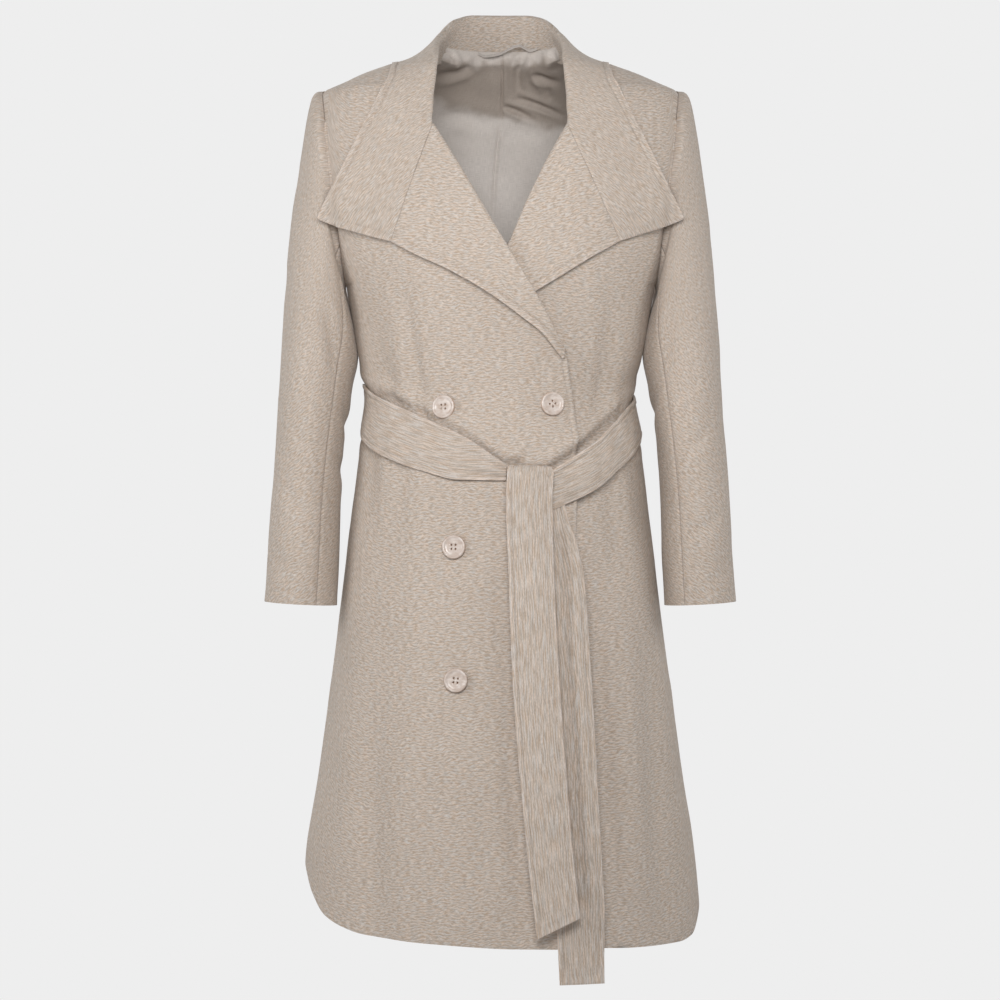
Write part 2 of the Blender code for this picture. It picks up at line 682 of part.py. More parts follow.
def front_tail():
    """The belt end that turns over the knot and hangs in front, from its hem up and over."""
    levels = np.linspace(FRONT_TAIL[0][0], FRONT_TAIL[-1][0], TAIL_ROWS + 1)
    hanging = tail_points(FRONT_TAIL, levels, FRONT_TAIL_LEFT_END, FRONT_TAIL_RIGHT_END)
    across = np.linspace(0, 1, TAIL_COLUMNS + 1)
    back_x = FRONT_TAIL_BACK_X[0] + (FRONT_TAIL_BACK_X[1] - FRONT_TAIL_BACK_X[0]) * across
    behind = []
    for level, lift in FRONT_TAIL_BACK:
        behind.append(on_front(1, back_x, np.full(len(back_x), level), lift))
    crest = (hanging[0] + behind[-1]) / 2
    crest[:, 2] = FRONT_TAIL_TOP
    rows = hanging[::-1] + [crest] + behind[::-1]
    return np.array(rows)


def under_tail():
    levels = np.linspace(UNDER_TAIL[0][0], UNDER_TAIL[-1][0], TAIL_ROWS + 1)
    lowest = UNDER_TAIL[-1][0]
    return np.array(tail_points(UNDER_TAIL, levels, lowest, lowest)[::-1])


def lining():
    levels = column(LINING_TABLE, LINING, "z")
    z = np.linspace(levels[0], levels[-1], LINING_ROWS + 1)[:, None]
    across = np.linspace(-1, 1, LINING_COLUMNS + 1)[None, :]
    x = read(LINING_TABLE, LINING, "half_width", z) * across
    points = inside_back(x, z + 0 * x, CLOTH + LINING_GAP + LINING_CLOTH)
    top = points[-1].copy()
    top[:, 2] = LINING_TOP
    return np.concatenate([points, top[None]])


def hanger_loop():
    x = np.linspace(LOOP[0][0], LOOP[-1][0], LOOP_COLUMNS + 1)
    z = read(LOOP_TABLE, LOOP, "z", x)
    bow = LOOP_BOW * np.sin(np.pi * np.linspace(0, 1, LOOP_COLUMNS + 1))
    inset = CLOTH + LINING_GAP + LINING_CLOTH + LOOP_GAP + TAPE_CLOTH
    y = inside_back(x, np.full(len(x), NECK_TOP), inset)[:, 1] - bow
    rows = []
    for share in (-0.5, 0.5):
        rows.append(np.stack([x, y, z + share * LOOP_WIDTH], axis=-1))
    return np.array(rows)


def make_look(name):
    colour, roughness, metallic = LOOKS[name]
    material = bpy.data.materials.new(name)
    material.use_nodes = True
    shader = material.node_tree.nodes["Principled BSDF"]
    shader.inputs["Base Color"].default_value = colour
    shader.inputs["Roughness"].default_value = roughness
    shader.inputs["Metallic"].default_value = metallic
    material.diffuse_color = colour
    return material


def add_object(name, bm, material, collection):
    mesh = bpy.data.meshes.new(name)
    bm.to_mesh(mesh)
    bm.free()
    mesh.shade_smooth()
    obj = bpy.data.objects.new(name, mesh)
    if material is not None:
        mesh.materials.append(material)
    collection.objects.link(obj)
    return obj


def add_sheet(name, points, thickness, material, collection):
    """A cloth piece: an open grid on the points, made solid towards its hidden face."""
    rows, columns = points.shape[:2]
    bm = bmesh.new()
    bmesh.ops.create_grid(bm, x_segments=columns - 1, y_segments=rows - 1, size=1.0)
    for vert, point in zip(bm.verts, points.reshape(-1, 3)):
        vert.co = point
    obj = add_object(name, bm, material, collection)
    wall = obj.modifiers.new("wall", "SOLIDIFY")
    wall.thickness = thickness
    wall.offset = -1.0
    wall.use_even_offset = True
    wall.use_rim = True
    return obj


def hole_cutter(collection):
    bm = bmesh.new()
    for turn in range(HOLE_COUNT):
        angle = math.radians(FIRST_HOLE + 360 * turn / HOLE_COUNT)
        made = bmesh.ops.create_cone(
            bm,
            cap_ends=True,
            segments=HOLE_STEPS,
            radius1=HOLE_RADIUS,
            radius2=HOLE_RADIUS,
            depth=HOLE_LENGTH,
        )
        place = (HOLE_OFFSET * math.cos(angle), HOLE_OFFSET * math.sin(angle), 0)
        bmesh.ops.translate(bm, verts=made["verts"], vec=place)
    cutter = add_object("button_hole_cutter", bm, None, collection)
    cutter.hide_render = True
    cutter.display_type = "WIRE"
    return cutter


def add_button(name, x, z, material, collection, cutters):
    bm = bmesh.new()
    line = [bm.verts.new((radius, 0, height)) for radius, height in BUTTON_PROFILE]
    for one, other in zip(line, line[1:]):
        bm.edges.new((one, other))
    button = add_object(name, bm, material, collection)
    spin = button.modifiers.new("turn", "SCREW")
    spin.steps = BUTTON_STEPS
    spin.render_steps = BUTTON_STEPS
    spin.use_merge_vertices = True
    spin.merge_threshold = MERGE_DISTANCE
    spin.use_normal_calculate = True
    holes = button.modifiers.new("holes", "BOOLEAN")
    holes.operation = "DIFFERENCE"
    holes.solver = "EXACT"
    holes.object = hole_cutter(cutters)
    lean_x = (front_depth(x + SLOPE_STEP, z) - front_depth(x - SLOPE_STEP, z)) / (2 * SLOPE_STEP)
    lean_z = (front_depth(x, z + SLOPE_STEP) - front_depth(x, z - SLOPE_STEP)) / (2 * SLOPE_STEP)
    around = np.linspace(0, 2 * math.pi, BUTTON_STEPS)
    step_x = BUTTON_RADIUS * np.cos(around)
    step_z = BUTTON_RADIUS * np.sin(around)
    cloth = on_front(-1, np.array(x), np.array(z), 0.0)
    rim = on_front(-1, x + step_x, z + step_z, 0.0)
    rise = np.max(cloth[1] - rim[:, 1] - lean_x * step_x - lean_z * step_z)
    button.location = cloth - np.array((0, max(rise, 0) + BUTTON_SEAT, 0))
    button.rotation_euler = (math.pi / 2 + math.atan(float(lean_z)), 0, -math.atan(float(lean_x)))
    holes.object.parent = button
    return button


def clear_scene():
    for obj in list(bpy.data.objects):
        bpy.data.objects.remove(obj, do_unlink=True)


def main():
    clear_scene()
    coat = bpy.data.collections.new(OBJECT_NAME)
    cutters = bpy.data.collections.new("cutters")
    bpy.context.scene.collection.children.link(coat)
    bpy.context.scene.collection.children.link(cutters)
    looks = {name: make_look(name) for name in LOOKS}
    wool = looks["wool_cloth"]

    add_sheet("back", back_panel(), CLOTH, wool, coat)
    for side, word in ((-1, "right"), (1, "left")):
        add_sheet("front_" + word, front_panel(side), CLOTH, wool, coat)
        add_sheet("lapel_" + word, lapel(side), CLOTH, wool, coat)
        sleeve_top = sleeve(side, BACK_SLEEVE_SEAM - 360, FRONT_SLEEVE_SEAM, TOP_SLEEVE_COLUMNS)
        sleeve_under = sleeve(side, FRONT_SLEEVE_SEAM, BACK_SLEEVE_SEAM, UNDER_SLEEVE_COLUMNS)
        add_sheet("sleeve_top_" + word, sleeve_top, CLOTH, wool, coat)
        add_sheet("sleeve_under_" + word, sleeve_under, CLOTH, wool, coat)
    add_sheet("collar", collar(), CLOTH, wool, coat)
    add_sheet("belt_round_waist", belt_round_waist(), BELT_CLOTH, wool, coat)
    add_sheet("belt_front_tail", front_tail(), BELT_CLOTH, wool, coat)
    add_sheet("belt_under_tail", under_tail(), BELT_CLOTH, wool, coat)
    add_sheet("lining_back", lining(), LINING_CLOTH, looks["lining_satin"], coat)
    add_sheet("hanger_loop", hanger_loop(), TAPE_CLOTH, looks["loop_tape"], coat)
    for name, x, z in BUTTONS:
        add_button(name, x, z, looks["button_pearl"], coat, cutters)


main()
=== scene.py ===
"""Looks of the belted overcoat.

Each cloth piece is a fine shell on the form of its solid, with its own folds, stitched edges and weave.
Metres, +Z up, the front faces -Y. side is -1 for the wearer's right half and +1 for the wearer's left half.
"""

import math

import bmesh
import bpy
import numpy as np
from mathutils import Matrix, Vector


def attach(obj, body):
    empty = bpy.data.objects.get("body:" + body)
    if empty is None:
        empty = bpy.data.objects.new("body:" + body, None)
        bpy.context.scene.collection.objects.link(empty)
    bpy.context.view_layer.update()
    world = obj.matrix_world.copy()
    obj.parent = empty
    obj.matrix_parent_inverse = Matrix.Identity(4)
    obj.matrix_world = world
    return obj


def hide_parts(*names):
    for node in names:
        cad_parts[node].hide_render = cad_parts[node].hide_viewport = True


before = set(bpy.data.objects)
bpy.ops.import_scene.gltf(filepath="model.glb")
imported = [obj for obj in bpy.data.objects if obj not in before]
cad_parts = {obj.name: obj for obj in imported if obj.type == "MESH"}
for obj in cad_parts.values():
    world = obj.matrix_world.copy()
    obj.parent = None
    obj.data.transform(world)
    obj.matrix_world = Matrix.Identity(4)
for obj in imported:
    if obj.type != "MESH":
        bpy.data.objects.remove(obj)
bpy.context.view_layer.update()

# Walls of the cloth, and gaps between pieces
CLOTH = 0.0024
BELT_CLOTH = 0.0030
LINING_CLOTH = 0.0010
SEAM_HALF = 0.00025
LAYER_GAP = 0.0007
LAPEL_GAP = 0.0014
COLLAR_GAP = 0.0058
ARMHOLE_GAP = 0.0003

# Levels
NECK_TOP = 0.0120
SHOULDER_TIP = -0.0350
UNDERARM = -0.2650
WAIST = -0.4000
HEM = -1.0300
BREAK = -0.3460

# Shoulder ridge and armhole
RIDGE_NECK_X = 0.0997
RIDGE_NECK_Z = 0.0035
TIP_X = 0.2095
UNDERARM_X = 0.1820
ARMHOLE_MIDDLE = (SHOULDER_TIP + UNDERARM) / 2
ARMHOLE_HALF = (SHOULDER_TIP - UNDERARM) / 2
ARMHOLE_FRONT = 0.060
ARMHOLE_BACK = 0.066
RIDGE_RUN = (TIP_X - RIDGE_NECK_X) / (RIDGE_NECK_Z - SHOULDER_TIP)

# Lift of the wearer's right front where it lies over the left one
OVERLAP_LIFT = 0.0085
LIFT_FADE_X = (0.090, 0.150)
LIFT_FADE_Z = (-0.200, -0.090)
SLOPE_STEP = 0.001
MOST_SLOPE = 2.5

# Body sections, from the hem up
TORSO_COLUMNS = ("z", "half_width", "front", "back", "roundness", "edge_power")
TORSO = (
    (-1.0400, 0.2385, 0.1700, 0.1760, 2.10, 0.48),
    (-0.9850, 0.2340, 0.1660, 0.1720, 2.10, 0.48),
    (-0.9200, 0.2277, 0.1610, 0.1670, 2.10, 0.48),
    (-0.8470, 0.2162, 0.1540, 0.1600, 2.10, 0.48),
    (-0.6580, 0.1900, 0.1370, 0.1430, 2.10, 0.48),
    (-0.5450, 0.1764, 0.1270, 0.1330, 2.10, 0.48),
    (-0.4555, 0.1650, 0.1160, 0.1230, 2.10, 0.48),
    (-0.4000, 0.1540, 0.1080, 0.1140, 2.10, 0.48),
    (-0.3520, 0.1660, 0.1140, 0.1180, 2.15, 0.48),
    (-0.3020, 0.1745, 0.1240, 0.1240, 2.20, 0.50),
    (-0.2650, 0.1820, 0.1300, 0.1275, 2.20, 0.54),
    (-0.1960, 0.1903, 0.1290, 0.1310, 2.20, 0.72),
    (-0.1370, 0.1973, 0.1200, 0.1320, 2.20, 0.76),
    (-0.0800, 0.2041, 0.1060, 0.1260, 2.20, 0.70),
    (-0.0350, 0.2095, 0.0880, 0.1100, 2.20, 0.55),
    (0.0035, 0.0997, 0.0640, 0.0840, 2.20, 0.50),
    (0.0160, 0.0633, 0.0480, 0.0720, 2.20, 0.50),
)

# Hem height by angle from the centre line, in degrees
HEM_COLUMNS = ("angle", "right", "left")
HEM_CURVE = (
    (0.0, -1.0175, -1.0175),
    (25.0, -1.0120, -1.0200),
    (40.0, -1.0095, -1.0225),
    (50.0, -1.0030, -1.0235),
    (60.0, -0.9925, -1.0235),
    (70.0, -0.9710, -1.0190),
    (80.0, -0.9490, -1.0000),
    (90.0, -0.9380, -0.9850),
)
UNDERLAP_RISE = 0.006
UNDERLAP_FADE = (5.0, 20.0)

# Inner edge of each front, measured outwards from the centre line
INNER_COLUMNS = ("z", "right", "left")
INNER_EDGE = (
    (-1.0400, -0.0830, -0.0800),
    (-0.6000, -0.0845, -0.0800),
    (-0.4529, -0.0884, -0.0800),
    (-0.4200, -0.0850, -0.0790),
    (-0.3856, -0.0800, -0.0770),
    (-0.3480, -0.0735, -0.0640),
    (-0.3130, -0.0570, -0.0460),
    (-0.2796, -0.0390, -0.0260),
    (-0.2550, -0.0240, -0.0100),
    (-0.2280, -0.0073, 0.0074),
    (-0.1804, 0.0209, 0.0280),
    (-0.1305, 0.0493, 0.0518),
    (-0.0938, 0.0735, 0.0720),
    (-0.0860, 0.0768, 0.0759),
    (-0.0555, 0.0780, 0.0780),
    (-0.0151, 0.0765, 0.0765),
    (0.0120, 0.0725, 0.0725),
)

# Largest folds of the fronts: top x and z, foot x and z, half width, and depth, which is below 0 for a ridge
FOLDS = (
    (-0.1122, -0.2500, -0.0886, -0.4300, 0.018, 0.0050),
    (0.1193, -0.2500, 0.1133, -0.4300, 0.018, 0.0050),
    (-0.1480, -0.7000, -0.1460, -1.0600, 0.022, 0.0050),
    (-0.0900, -0.6500, -0.0950, -1.0600, 0.026, -0.0030),
    (0.1250, -0.6000, 0.1400, -1.0600, 0.022, -0.0050),
    (0.1600, -0.6500, 0.1850, -1.0600, 0.020, 0.0040),
)
FOLD_END_POWER = 0.7
FOLD_SIDE_FADE = 2.0

# Lapels: roll line and outer edge, from the break up to the gorge seam
LAPEL_TABLE = ("share", "roll_x", "roll_z", "edge_x", "edge_z")
LAPEL_RIGHT = (
    (0.00, 0.0735, -0.3460, 0.0725, -0.3550),
    (0.15, 0.0570, -0.3130, 0.0504, -0.3292),
    (0.30, 0.0390, -0.2796, 0.0260, -0.3110),
    (0.50, 0.0073, -0.2280, -0.0150, -0.2822),
    (0.70, -0.0209, -0.1804, -0.0600, -0.2562),
    (0.85, -0.0493, -0.1305, -0.0950, -0.2397),
    (1.00, -0.0768, -0.0855, -0.1255, -0.2225),
)
LAPEL_LEFT = (
    (0.00, -0.0100, -0.2550, 0.0080, -0.3000),
    (0.25, 0.0074, -0.2272, 0.0379, -0.2816),
    (0.50, 0.0300, -0.1760, 0.0700, -0.2620),
    (0.75, 0.0530, -0.1280, 0.1030, -0.2410),
    (1.00, 0.0759, -0.0867, 0.1363, -0.2213),
)

# Collar ribs from the centre back to the gorge seam, x measured outwards
COLLAR_TABLE = (
    "fold_x", "fold_y", "fold_z", "edge_x", "edge_y", "edge_z", "base_x", "base_y", "base_z", "sag",
)
COLLAR_RIBS = (
    (0.0000, 0.0850, 0.0720, 0.0000, 0.1160, -0.0300, 0.0000, 0.0690, 0.0128, 0.000),
    (0.0300, 0.0800, 0.0715, 0.0480, 0.1100, -0.0300, 0.0310, 0.0640, 0.0128, 0.000),
    (0.0495, 0.0600, 0.0630, 0.0880, 0.0920, -0.0270, 0.0560, 0.0450, 0.0128, 0.002),
    (0.0625, 0.0300, 0.0450, 0.1150, 0.0560, -0.0160, 0.0690, 0.0200, 0.0128, 0.006),
    (0.0690, -0.0050, 0.0280, 0.1268, -0.0020, -0.0015, 0.0725, -0.0050, 0.0150, 0.006),
    (0.0720, -0.0450, 0.0110, 0.1272, -0.0400, -0.0105, 0.0740, -0.0420, 0.0075, 0.003),
    (0.0742, -0.0800, -0.0120, 0.1300, -0.0750, -0.0300, 0.0752, -0.0745, -0.0140, 0.000),
    (0.0771, -0.1020, -0.0540, 0.1842, -0.0872, -0.1392, 0.0765, -0.0975, -0.0540, 0.000),
    (0.0770, -0.1080, -0.0700, 0.2130, -0.0750, -0.1924, 0.0762, -0.1040, -0.0700, 0.000),
    (0.0769, -0.1105, -0.0780, 0.1861, -0.0760, -0.2040, 0.0758, -0.1068, -0.0780, 0.000),
    (0.0768, -0.1125, -0.0855, 0.1300, -0.1100, -0.2225, 0.0752, -0.1090, -0.0855, 0.000),
)
COLLAR_LAST_BACK_RIB = 3
COLLAR_SEAT = 0.0010
SHOULDER_LIFT = 0.0018
SHOULDER_SEARCH = 0.080
SHOULDER_SAMPLES = 80
CHEST_LINE = -0.110
TIP_STANDOFF = 0.010
TIP_FADE_X = (0.150, 0.200)

# Sleeve sections from the armhole to the cuff, x measured outwards
SLEEVE_TABLE = ("outer_x", "outer_z", "inner_x", "inner_z", "middle_y", "half_depth")
SLEEVE = (
    (0.2095, -0.0350, 0.1820, -0.2650, 0.003, 0.0630),
    (0.2210, -0.0425, 0.1838, -0.2750, 0.003, 0.0655),
    (0.2307, -0.0850, 0.1758, -0.3000, 0.003, 0.0675),
    (0.2449, -0.1840, 0.1682, -0.3450, 0.001, 0.0665),
    (0.2543, -0.2832, 0.1745, -0.3850, -0.003, 0.0635),
    (0.2602, -0.3930, 0.1823, -0.4390, -0.010, 0.0590),
    (0.2658, -0.4814, 0.1873, -0.5168, -0.017, 0.0560),
    (0.2708, -0.5676, 0.1890, -0.5876, -0.023, 0.0530),
    (0.2750, -0.6350, 0.1918, -0.6396, -0.027, 0.0500),
)
FRONT_SLEEVE_SEAM = 121.0
BACK_SLEEVE_SEAM = 265.0
SLEEVE_SEAM_HALF = 0.35

# Belt round the waist by angle from the centre front, in degrees
BELT_TABLE = ("angle", "bottom_z", "top_z", "lift")
BELT = (
    (17.3, -0.5290, -0.4850, 0.0130),
    (34.0, -0.5070, -0.4555, 0.0130),
    (52.0, -0.4780, -0.4255, 0.0080),
    (72.0, -0.4560, -0.4055, 0.0026),
    (90.0, -0.4400, -0.3960, 0.0026),
    (130.0, -0.4330, -0.3780, 0.0026),
    (180.0, -0.4310, -0.3760, 0.0026),
    (230.0, -0.4320, -0.3770, 0.0026),
    (270.0, -0.4360, -0.3800, 0.0026),
    (288.0, -0.4480, -0.3900, 0.0036),
    (308.0, -0.4640, -0.4030, 0.0086),
    (330.0, -0.4830, -0.4240, 0.0104),
    (346.0, -0.4940, -0.4440, 0.0100),
    (362.0, -0.4945, -0.4760, 0.0096),
)

# Belt tails from the top down
TAIL_TABLE = ("z", "left_x", "right_x", "lift")
FRONT_TAIL = (
    (-0.4850, 0.0074, 0.0600, 0.0260),
    (-0.5168, 0.0062, 0.0590, 0.0245),
    (-0.5840, 0.0084, 0.0595, 0.0205),
    (-0.7180, 0.0134, 0.0648, 0.0195),
    (-0.8950, 0.0278, 0.0764, 0.0200),
    (-1.0044, 0.0400, 0.0868, 0.0205),
)
FRONT_TAIL_LEFT_END = -1.0044
FRONT_TAIL_RIGHT_END = -0.9825
FRONT_TAIL_TOP = -0.4790
FRONT_TAIL_BACK = ((-0.5150, 0.0127), (-0.4930, 0.0131))
FRONT_TAIL_BACK_X = (0.0100, 0.0530)
UNDER_TAIL = (
    (-0.5080, 0.0180, 0.0700, 0.0092),
    (-0.5462, 0.0260, 0.0786, 0.0092),
    (-0.6027, 0.0380, 0.0910, 0.0092),
    (-0.6984, 0.0450, 0.0987, 0.0092),
    (-0.7868, 0.0510, 0.1041, 0.0092),
    (-0.8981, 0.0570, 0.1099, 0.0092),
    (-1.0001, 0.0630, 0.1160, 0.0092),
    (-1.0580, 0.0660, 0.1165, 0.0092),
)

# Buttons: name, x and z of the middle on the wearer's right front, and turn of the holes in degrees
BUTTONS = (
    ("button_upper_right", -0.0644, -0.4108, 48.0),
    ("button_upper_left", 0.0587, -0.4074, 4.0),
    ("button_middle", -0.0526, -0.5700, 46.0),
    ("button_lower", -0.0501, -0.7200, 40.0),
)
BUTTON_RADIUS = 0.0137
BUTTON_SEAT = 0.0010
BUTTON_STEPS = 64
BUTTON_PROFILE = (
    (0.0000, 0.0000),
    (0.0112, 0.0000),
    (0.0126, 0.0004),
    (0.0135, 0.0013),
    (0.0137, 0.0023),
    (0.0135, 0.0032),
    (0.0129, 0.0040),
    (0.0120, 0.0044),
    (0.0111, 0.0043),
    (0.0104, 0.0038),
    (0.0098, 0.0033),
    (0.0088, 0.0030),
    (0.0060, 0.0029),
    (0.0000, 0.0029),
)
HOLE_RADIUS = 0.0012
HOLE_OFFSET = 0.0032
HOLE_COUNT = 4
DRILL_LENGTH = 0.02

# Sewing of the buttons: two bars over the holes, and a shank behind them in dark brown, painted shade that
# shows in the holes
BAR_HALF = (HOLE_OFFSET * 0.62, 0.00042, 0.00040)
BAR_LEVEL = 0.0027
SHANK_RADII = (0.0048, 0.0046)
SHANK_LENGTH = 0.0030
SHANK_LEVEL = -0.0002

# Back lining: half width by height, and the seam with the collar
LINING_TABLE = ("z", "half_width")
LINING = (
    (-0.3400, 0.1000),
    (-0.2600, 0.1080),
    (-0.1800, 0.1250),
    (-0.1000, 0.1320),
    (-0.0500, 0.1260),
    (-0.0200, 0.1120),
    (0.0000, 0.0960),
    (0.0120, 0.0725),
)
LINING_TOP = 0.0235
LINING_INSET = 0.0058

# Hanger loop at the back neck
LOOP_TABLE = ("x", "z")
LOOP = (
    (-0.0271, 0.0209),
    (-0.0174, 0.0173),
    (-0.0040, 0.0190),
    (0.0223, 0.0293),
    (0.0367, 0.0235),
    (0.0439, 0.0257),
)
LOOP_WIDTH = 0.0055
LOOP_BOW = 0.0060
LOOP_INSET = 0.0138
LOOP_LEAN = math.radians(50)
LOOP_WALL = 0.0007
LOOP_COLUMNS = 90
LOOP_ROWS = 7

# Stitch lines: distance from the edge, and each stitch, its height and rise as shares of its width
COLLAR_STITCH = 0.0080
FRONT_STITCH = 0.0060
BELT_STITCH = 0.0062
STITCH_LENGTH = 0.0034
STITCH_GAP = 0.0014
STITCH_WIDTH = 0.0008
STITCH_START = 0.001
STITCH_HEIGHT = 0.42
STITCH_RISE = 0.20

# Soft creases: x and z of the start, middle and end of the line, half width, depth (below 0 for a ridge),
# share of the length where it is strongest, and height of the lips beside it as a share of the depth
CREASE_POINTS = 13
CREASE_END_POWER = 0.8
LIP_AWAY = 2.1
LIP_WIDTH = 1.1
FRONT_CREASE_STRENGTH = 1.3
BACK_CREASE_STRENGTH = 1.5
FRONT_CREASES = (
    (-0.1115, -0.2564, -0.1030, -0.3255, -0.0862, -0.4290, 0.0070, 0.0026, 0.72, 0.40),
    (-0.1455, -0.2904, -0.1390, -0.3470, -0.1290, -0.4050, 0.0120, 0.0020, 0.60, 0.20),
    (-0.0925, -0.3960, -0.0895, -0.4110, -0.0862, -0.4280, 0.0042, 0.0034, 0.80, 0.30),
    (-0.1296, -0.3500, -0.1262, -0.3800, -0.1215, -0.4080, 0.0055, 0.0018, 0.75, 0.30),
    (-0.0420, -0.3900, -0.0380, -0.4200, -0.0300, -0.4480, 0.0080, 0.0012, 0.70, 0.20),
    (-0.1455, -0.4400, -0.1500, -0.4900, -0.1530, -0.5600, 0.0100, 0.0026, 0.25, 0.30),
    (-0.1115, -0.4600, -0.1160, -0.5300, -0.1200, -0.6400, 0.0110, 0.0022, 0.25, 0.25),
    (-0.0515, -0.4850, -0.0560, -0.5400, -0.0590, -0.6200, 0.0120, 0.0014, 0.25, 0.20),
    (-0.1440, -0.7600, -0.1470, -0.9000, -0.1440, -1.0200, 0.0150, 0.0030, 0.60, 0.30),
    (-0.1850, -0.6200, -0.1960, -0.7900, -0.2020, -0.9600, 0.0180, 0.0034, 0.60, 0.20),
    (-0.0720, -0.7000, -0.0760, -0.8600, -0.0780, -1.0150, 0.0180, 0.0018, 0.65, 0.15),
    (-0.0200, -0.6600, -0.0180, -0.8200, -0.0150, -1.0150, 0.0200, 0.0016, 0.60, 0.15),
    (0.0080, -0.5300, 0.0120, -0.7600, 0.0300, -1.0250, 0.0150, 0.0050, 0.60, 0.10),
    (0.1262, -0.2800, 0.1200, -0.3583, 0.1105, -0.4380, 0.0085, 0.0026, 0.72, 0.40),
    (0.1092, -0.2400, 0.1104, -0.3100, 0.1070, -0.3750, 0.0130, -0.0022, 0.45, 0.00),
    (0.1443, -0.3600, 0.1415, -0.3900, 0.1370, -0.4180, 0.0055, 0.0018, 0.75, 0.30),
    (0.0920, -0.3300, 0.0960, -0.3900, 0.0990, -0.4500, 0.0080, 0.0014, 0.70, 0.20),
    (0.1262, -0.4900, 0.1310, -0.5500, 0.1340, -0.6400, 0.0110, 0.0028, 0.25, 0.30),
    (0.1523, -0.4750, 0.1600, -0.5300, 0.1660, -0.6000, 0.0100, 0.0026, 0.25, 0.30),
    (0.1060, -0.5400, 0.1160, -0.7600, 0.1340, -1.0300, 0.0150, 0.0060, 0.62, 0.15),
    (0.1400, -0.6000, 0.1480, -0.7800, 0.1580, -1.0000, 0.0190, -0.0032, 0.50, 0.00),
    (0.1700, -0.6600, 0.1800, -0.8400, 0.1890, -1.0100, 0.0150, 0.0038, 0.60, 0.25),
    (0.2020, -0.7400, 0.2090, -0.8800, 0.2140, -1.0000, 0.0160, 0.0030, 0.60, 0.20),
)
BACK_CREASES = (
    (-0.1080, -0.3780, -0.1060, -0.3400, -0.1000, -0.2900, 0.0080, 0.0024, 0.25, 0.30),
    (-0.0460, -0.3740, -0.0480, -0.3300, -0.0440, -0.2700, 0.0090, 0.0022, 0.25, 0.25),
    (0.0220, -0.3740, 0.0240, -0.3350, 0.0300, -0.2850, 0.0080, 0.0020, 0.25, 0.30),
    (0.0900, -0.3760, 0.0930, -0.3350, 0.0900, -0.2800, 0.0090, 0.0026, 0.25, 0.25),
    (-0.1350, -0.4380, -0.1480, -0.5800, -0.1640, -0.8200, 0.0140, 0.0042, 0.35, 0.25),
    (-0.0780, -0.4360, -0.0840, -0.6000, -0.0960, -0.9400, 0.0170, 0.0046, 0.45, 0.20),
    (-0.0120, -0.4340, -0.0140, -0.5600, -0.0160, -0.7600, 0.0140, 0.0034, 0.35, 0.25),
    (0.0460, -0.4340, 0.0520, -0.6200, 0.0600, -0.9800, 0.0180, 0.0050, 0.45, 0.20),
    (0.1160, -0.4360, 0.1280, -0.5600, 0.1420, -0.8000, 0.0150, 0.0042, 0.35, 0.25),
    (-0.0380, -0.7000, -0.0430, -0.8600, -0.0460, -1.0200, 0.0200, 0.0034, 0.60, 0.15),
    (0.1120, -0.7600, 0.1220, -0.8900, 0.1300, -1.0200, 0.0200, 0.0040, 0.60, 0.15),
    (-0.1560, -0.2500, -0.1180, -0.2180, -0.0760, -0.2050, 0.0120, 0.0026, 0.30, 0.20),
    (0.1560, -0.2550, 0.1240, -0.2300, 0.0840, -0.2200, 0.0120, 0.0022, 0.30, 0.20),
    (-0.1700, -0.1600, -0.1400, -0.1480, -0.1000, -0.1500, 0.0110, 0.0016, 0.30, 0.20),
    (0.1700, -0.1500, 0.1420, -0.1380, 0.1080, -0.1380, 0.0110, 0.0016, 0.30, 0.20),
)

# Sleeve creases: x is a thousandth of the angle round the sleeve in degrees, and z the height
SLEEVE_CREASES_RIGHT = (
    (0.050, -0.485, 0.075, -0.520, 0.108, -0.535, 0.0090, 0.0020, 0.50, 0.30),
    (0.060, -0.420, 0.085, -0.452, 0.118, -0.462, 0.0080, 0.0016, 0.55, 0.30),
    (0.030, -0.560, 0.058, -0.590, 0.088, -0.600, 0.0100, 0.0015, 0.50, 0.20),
    (0.095, -0.285, 0.112, -0.325, 0.128, -0.380, 0.0080, 0.0020, 0.45, 0.30),
    (0.150, -0.395, 0.175, -0.425, 0.215, -0.430, 0.0080, 0.0024, 0.50, 0.30),
    (0.140, -0.460, 0.172, -0.480, 0.210, -0.478, 0.0090, 0.0020, 0.50, 0.30),
    (-0.105, -0.330, -0.070, -0.372, -0.030, -0.385, 0.0100, 0.0024, 0.45, 0.25),
    (-0.100, -0.410, -0.070, -0.438, -0.035, -0.440, 0.0090, 0.0022, 0.45, 0.25),
    (0.010, -0.240, 0.030, -0.330, 0.030, -0.420, 0.0200, 0.0018, 0.50, 0.10),
)
SLEEVE_CREASES_LEFT = (
    (0.052, -0.415, 0.080, -0.448, 0.112, -0.456, 0.0085, 0.0020, 0.50, 0.30),
    (0.046, -0.520, 0.078, -0.548, 0.110, -0.556, 0.0095, 0.0022, 0.50, 0.30),
    (0.066, -0.355, 0.090, -0.385, 0.118, -0.392, 0.0080, 0.0014, 0.55, 0.30),
    (0.034, -0.585, 0.060, -0.606, 0.092, -0.612, 0.0100, 0.0014, 0.50, 0.20),
    (0.092, -0.275, 0.110, -0.318, 0.126, -0.370, 0.0080, 0.0020, 0.45, 0.30),
    (0.152, -0.385, 0.178, -0.412, 0.216, -0.420, 0.0080, 0.0022, 0.50, 0.30),
    (-0.102, -0.345, -0.068, -0.385, -0.030, -0.400, 0.0100, 0.0024, 0.45, 0.25),
    (-0.104, -0.440, -0.072, -0.462, -0.036, -0.462, 0.0090, 0.0020, 0.45, 0.25),
    (0.012, -0.220, 0.026, -0.320, 0.024, -0.430, 0.0200, 0.0018, 0.50, 0.10),
)
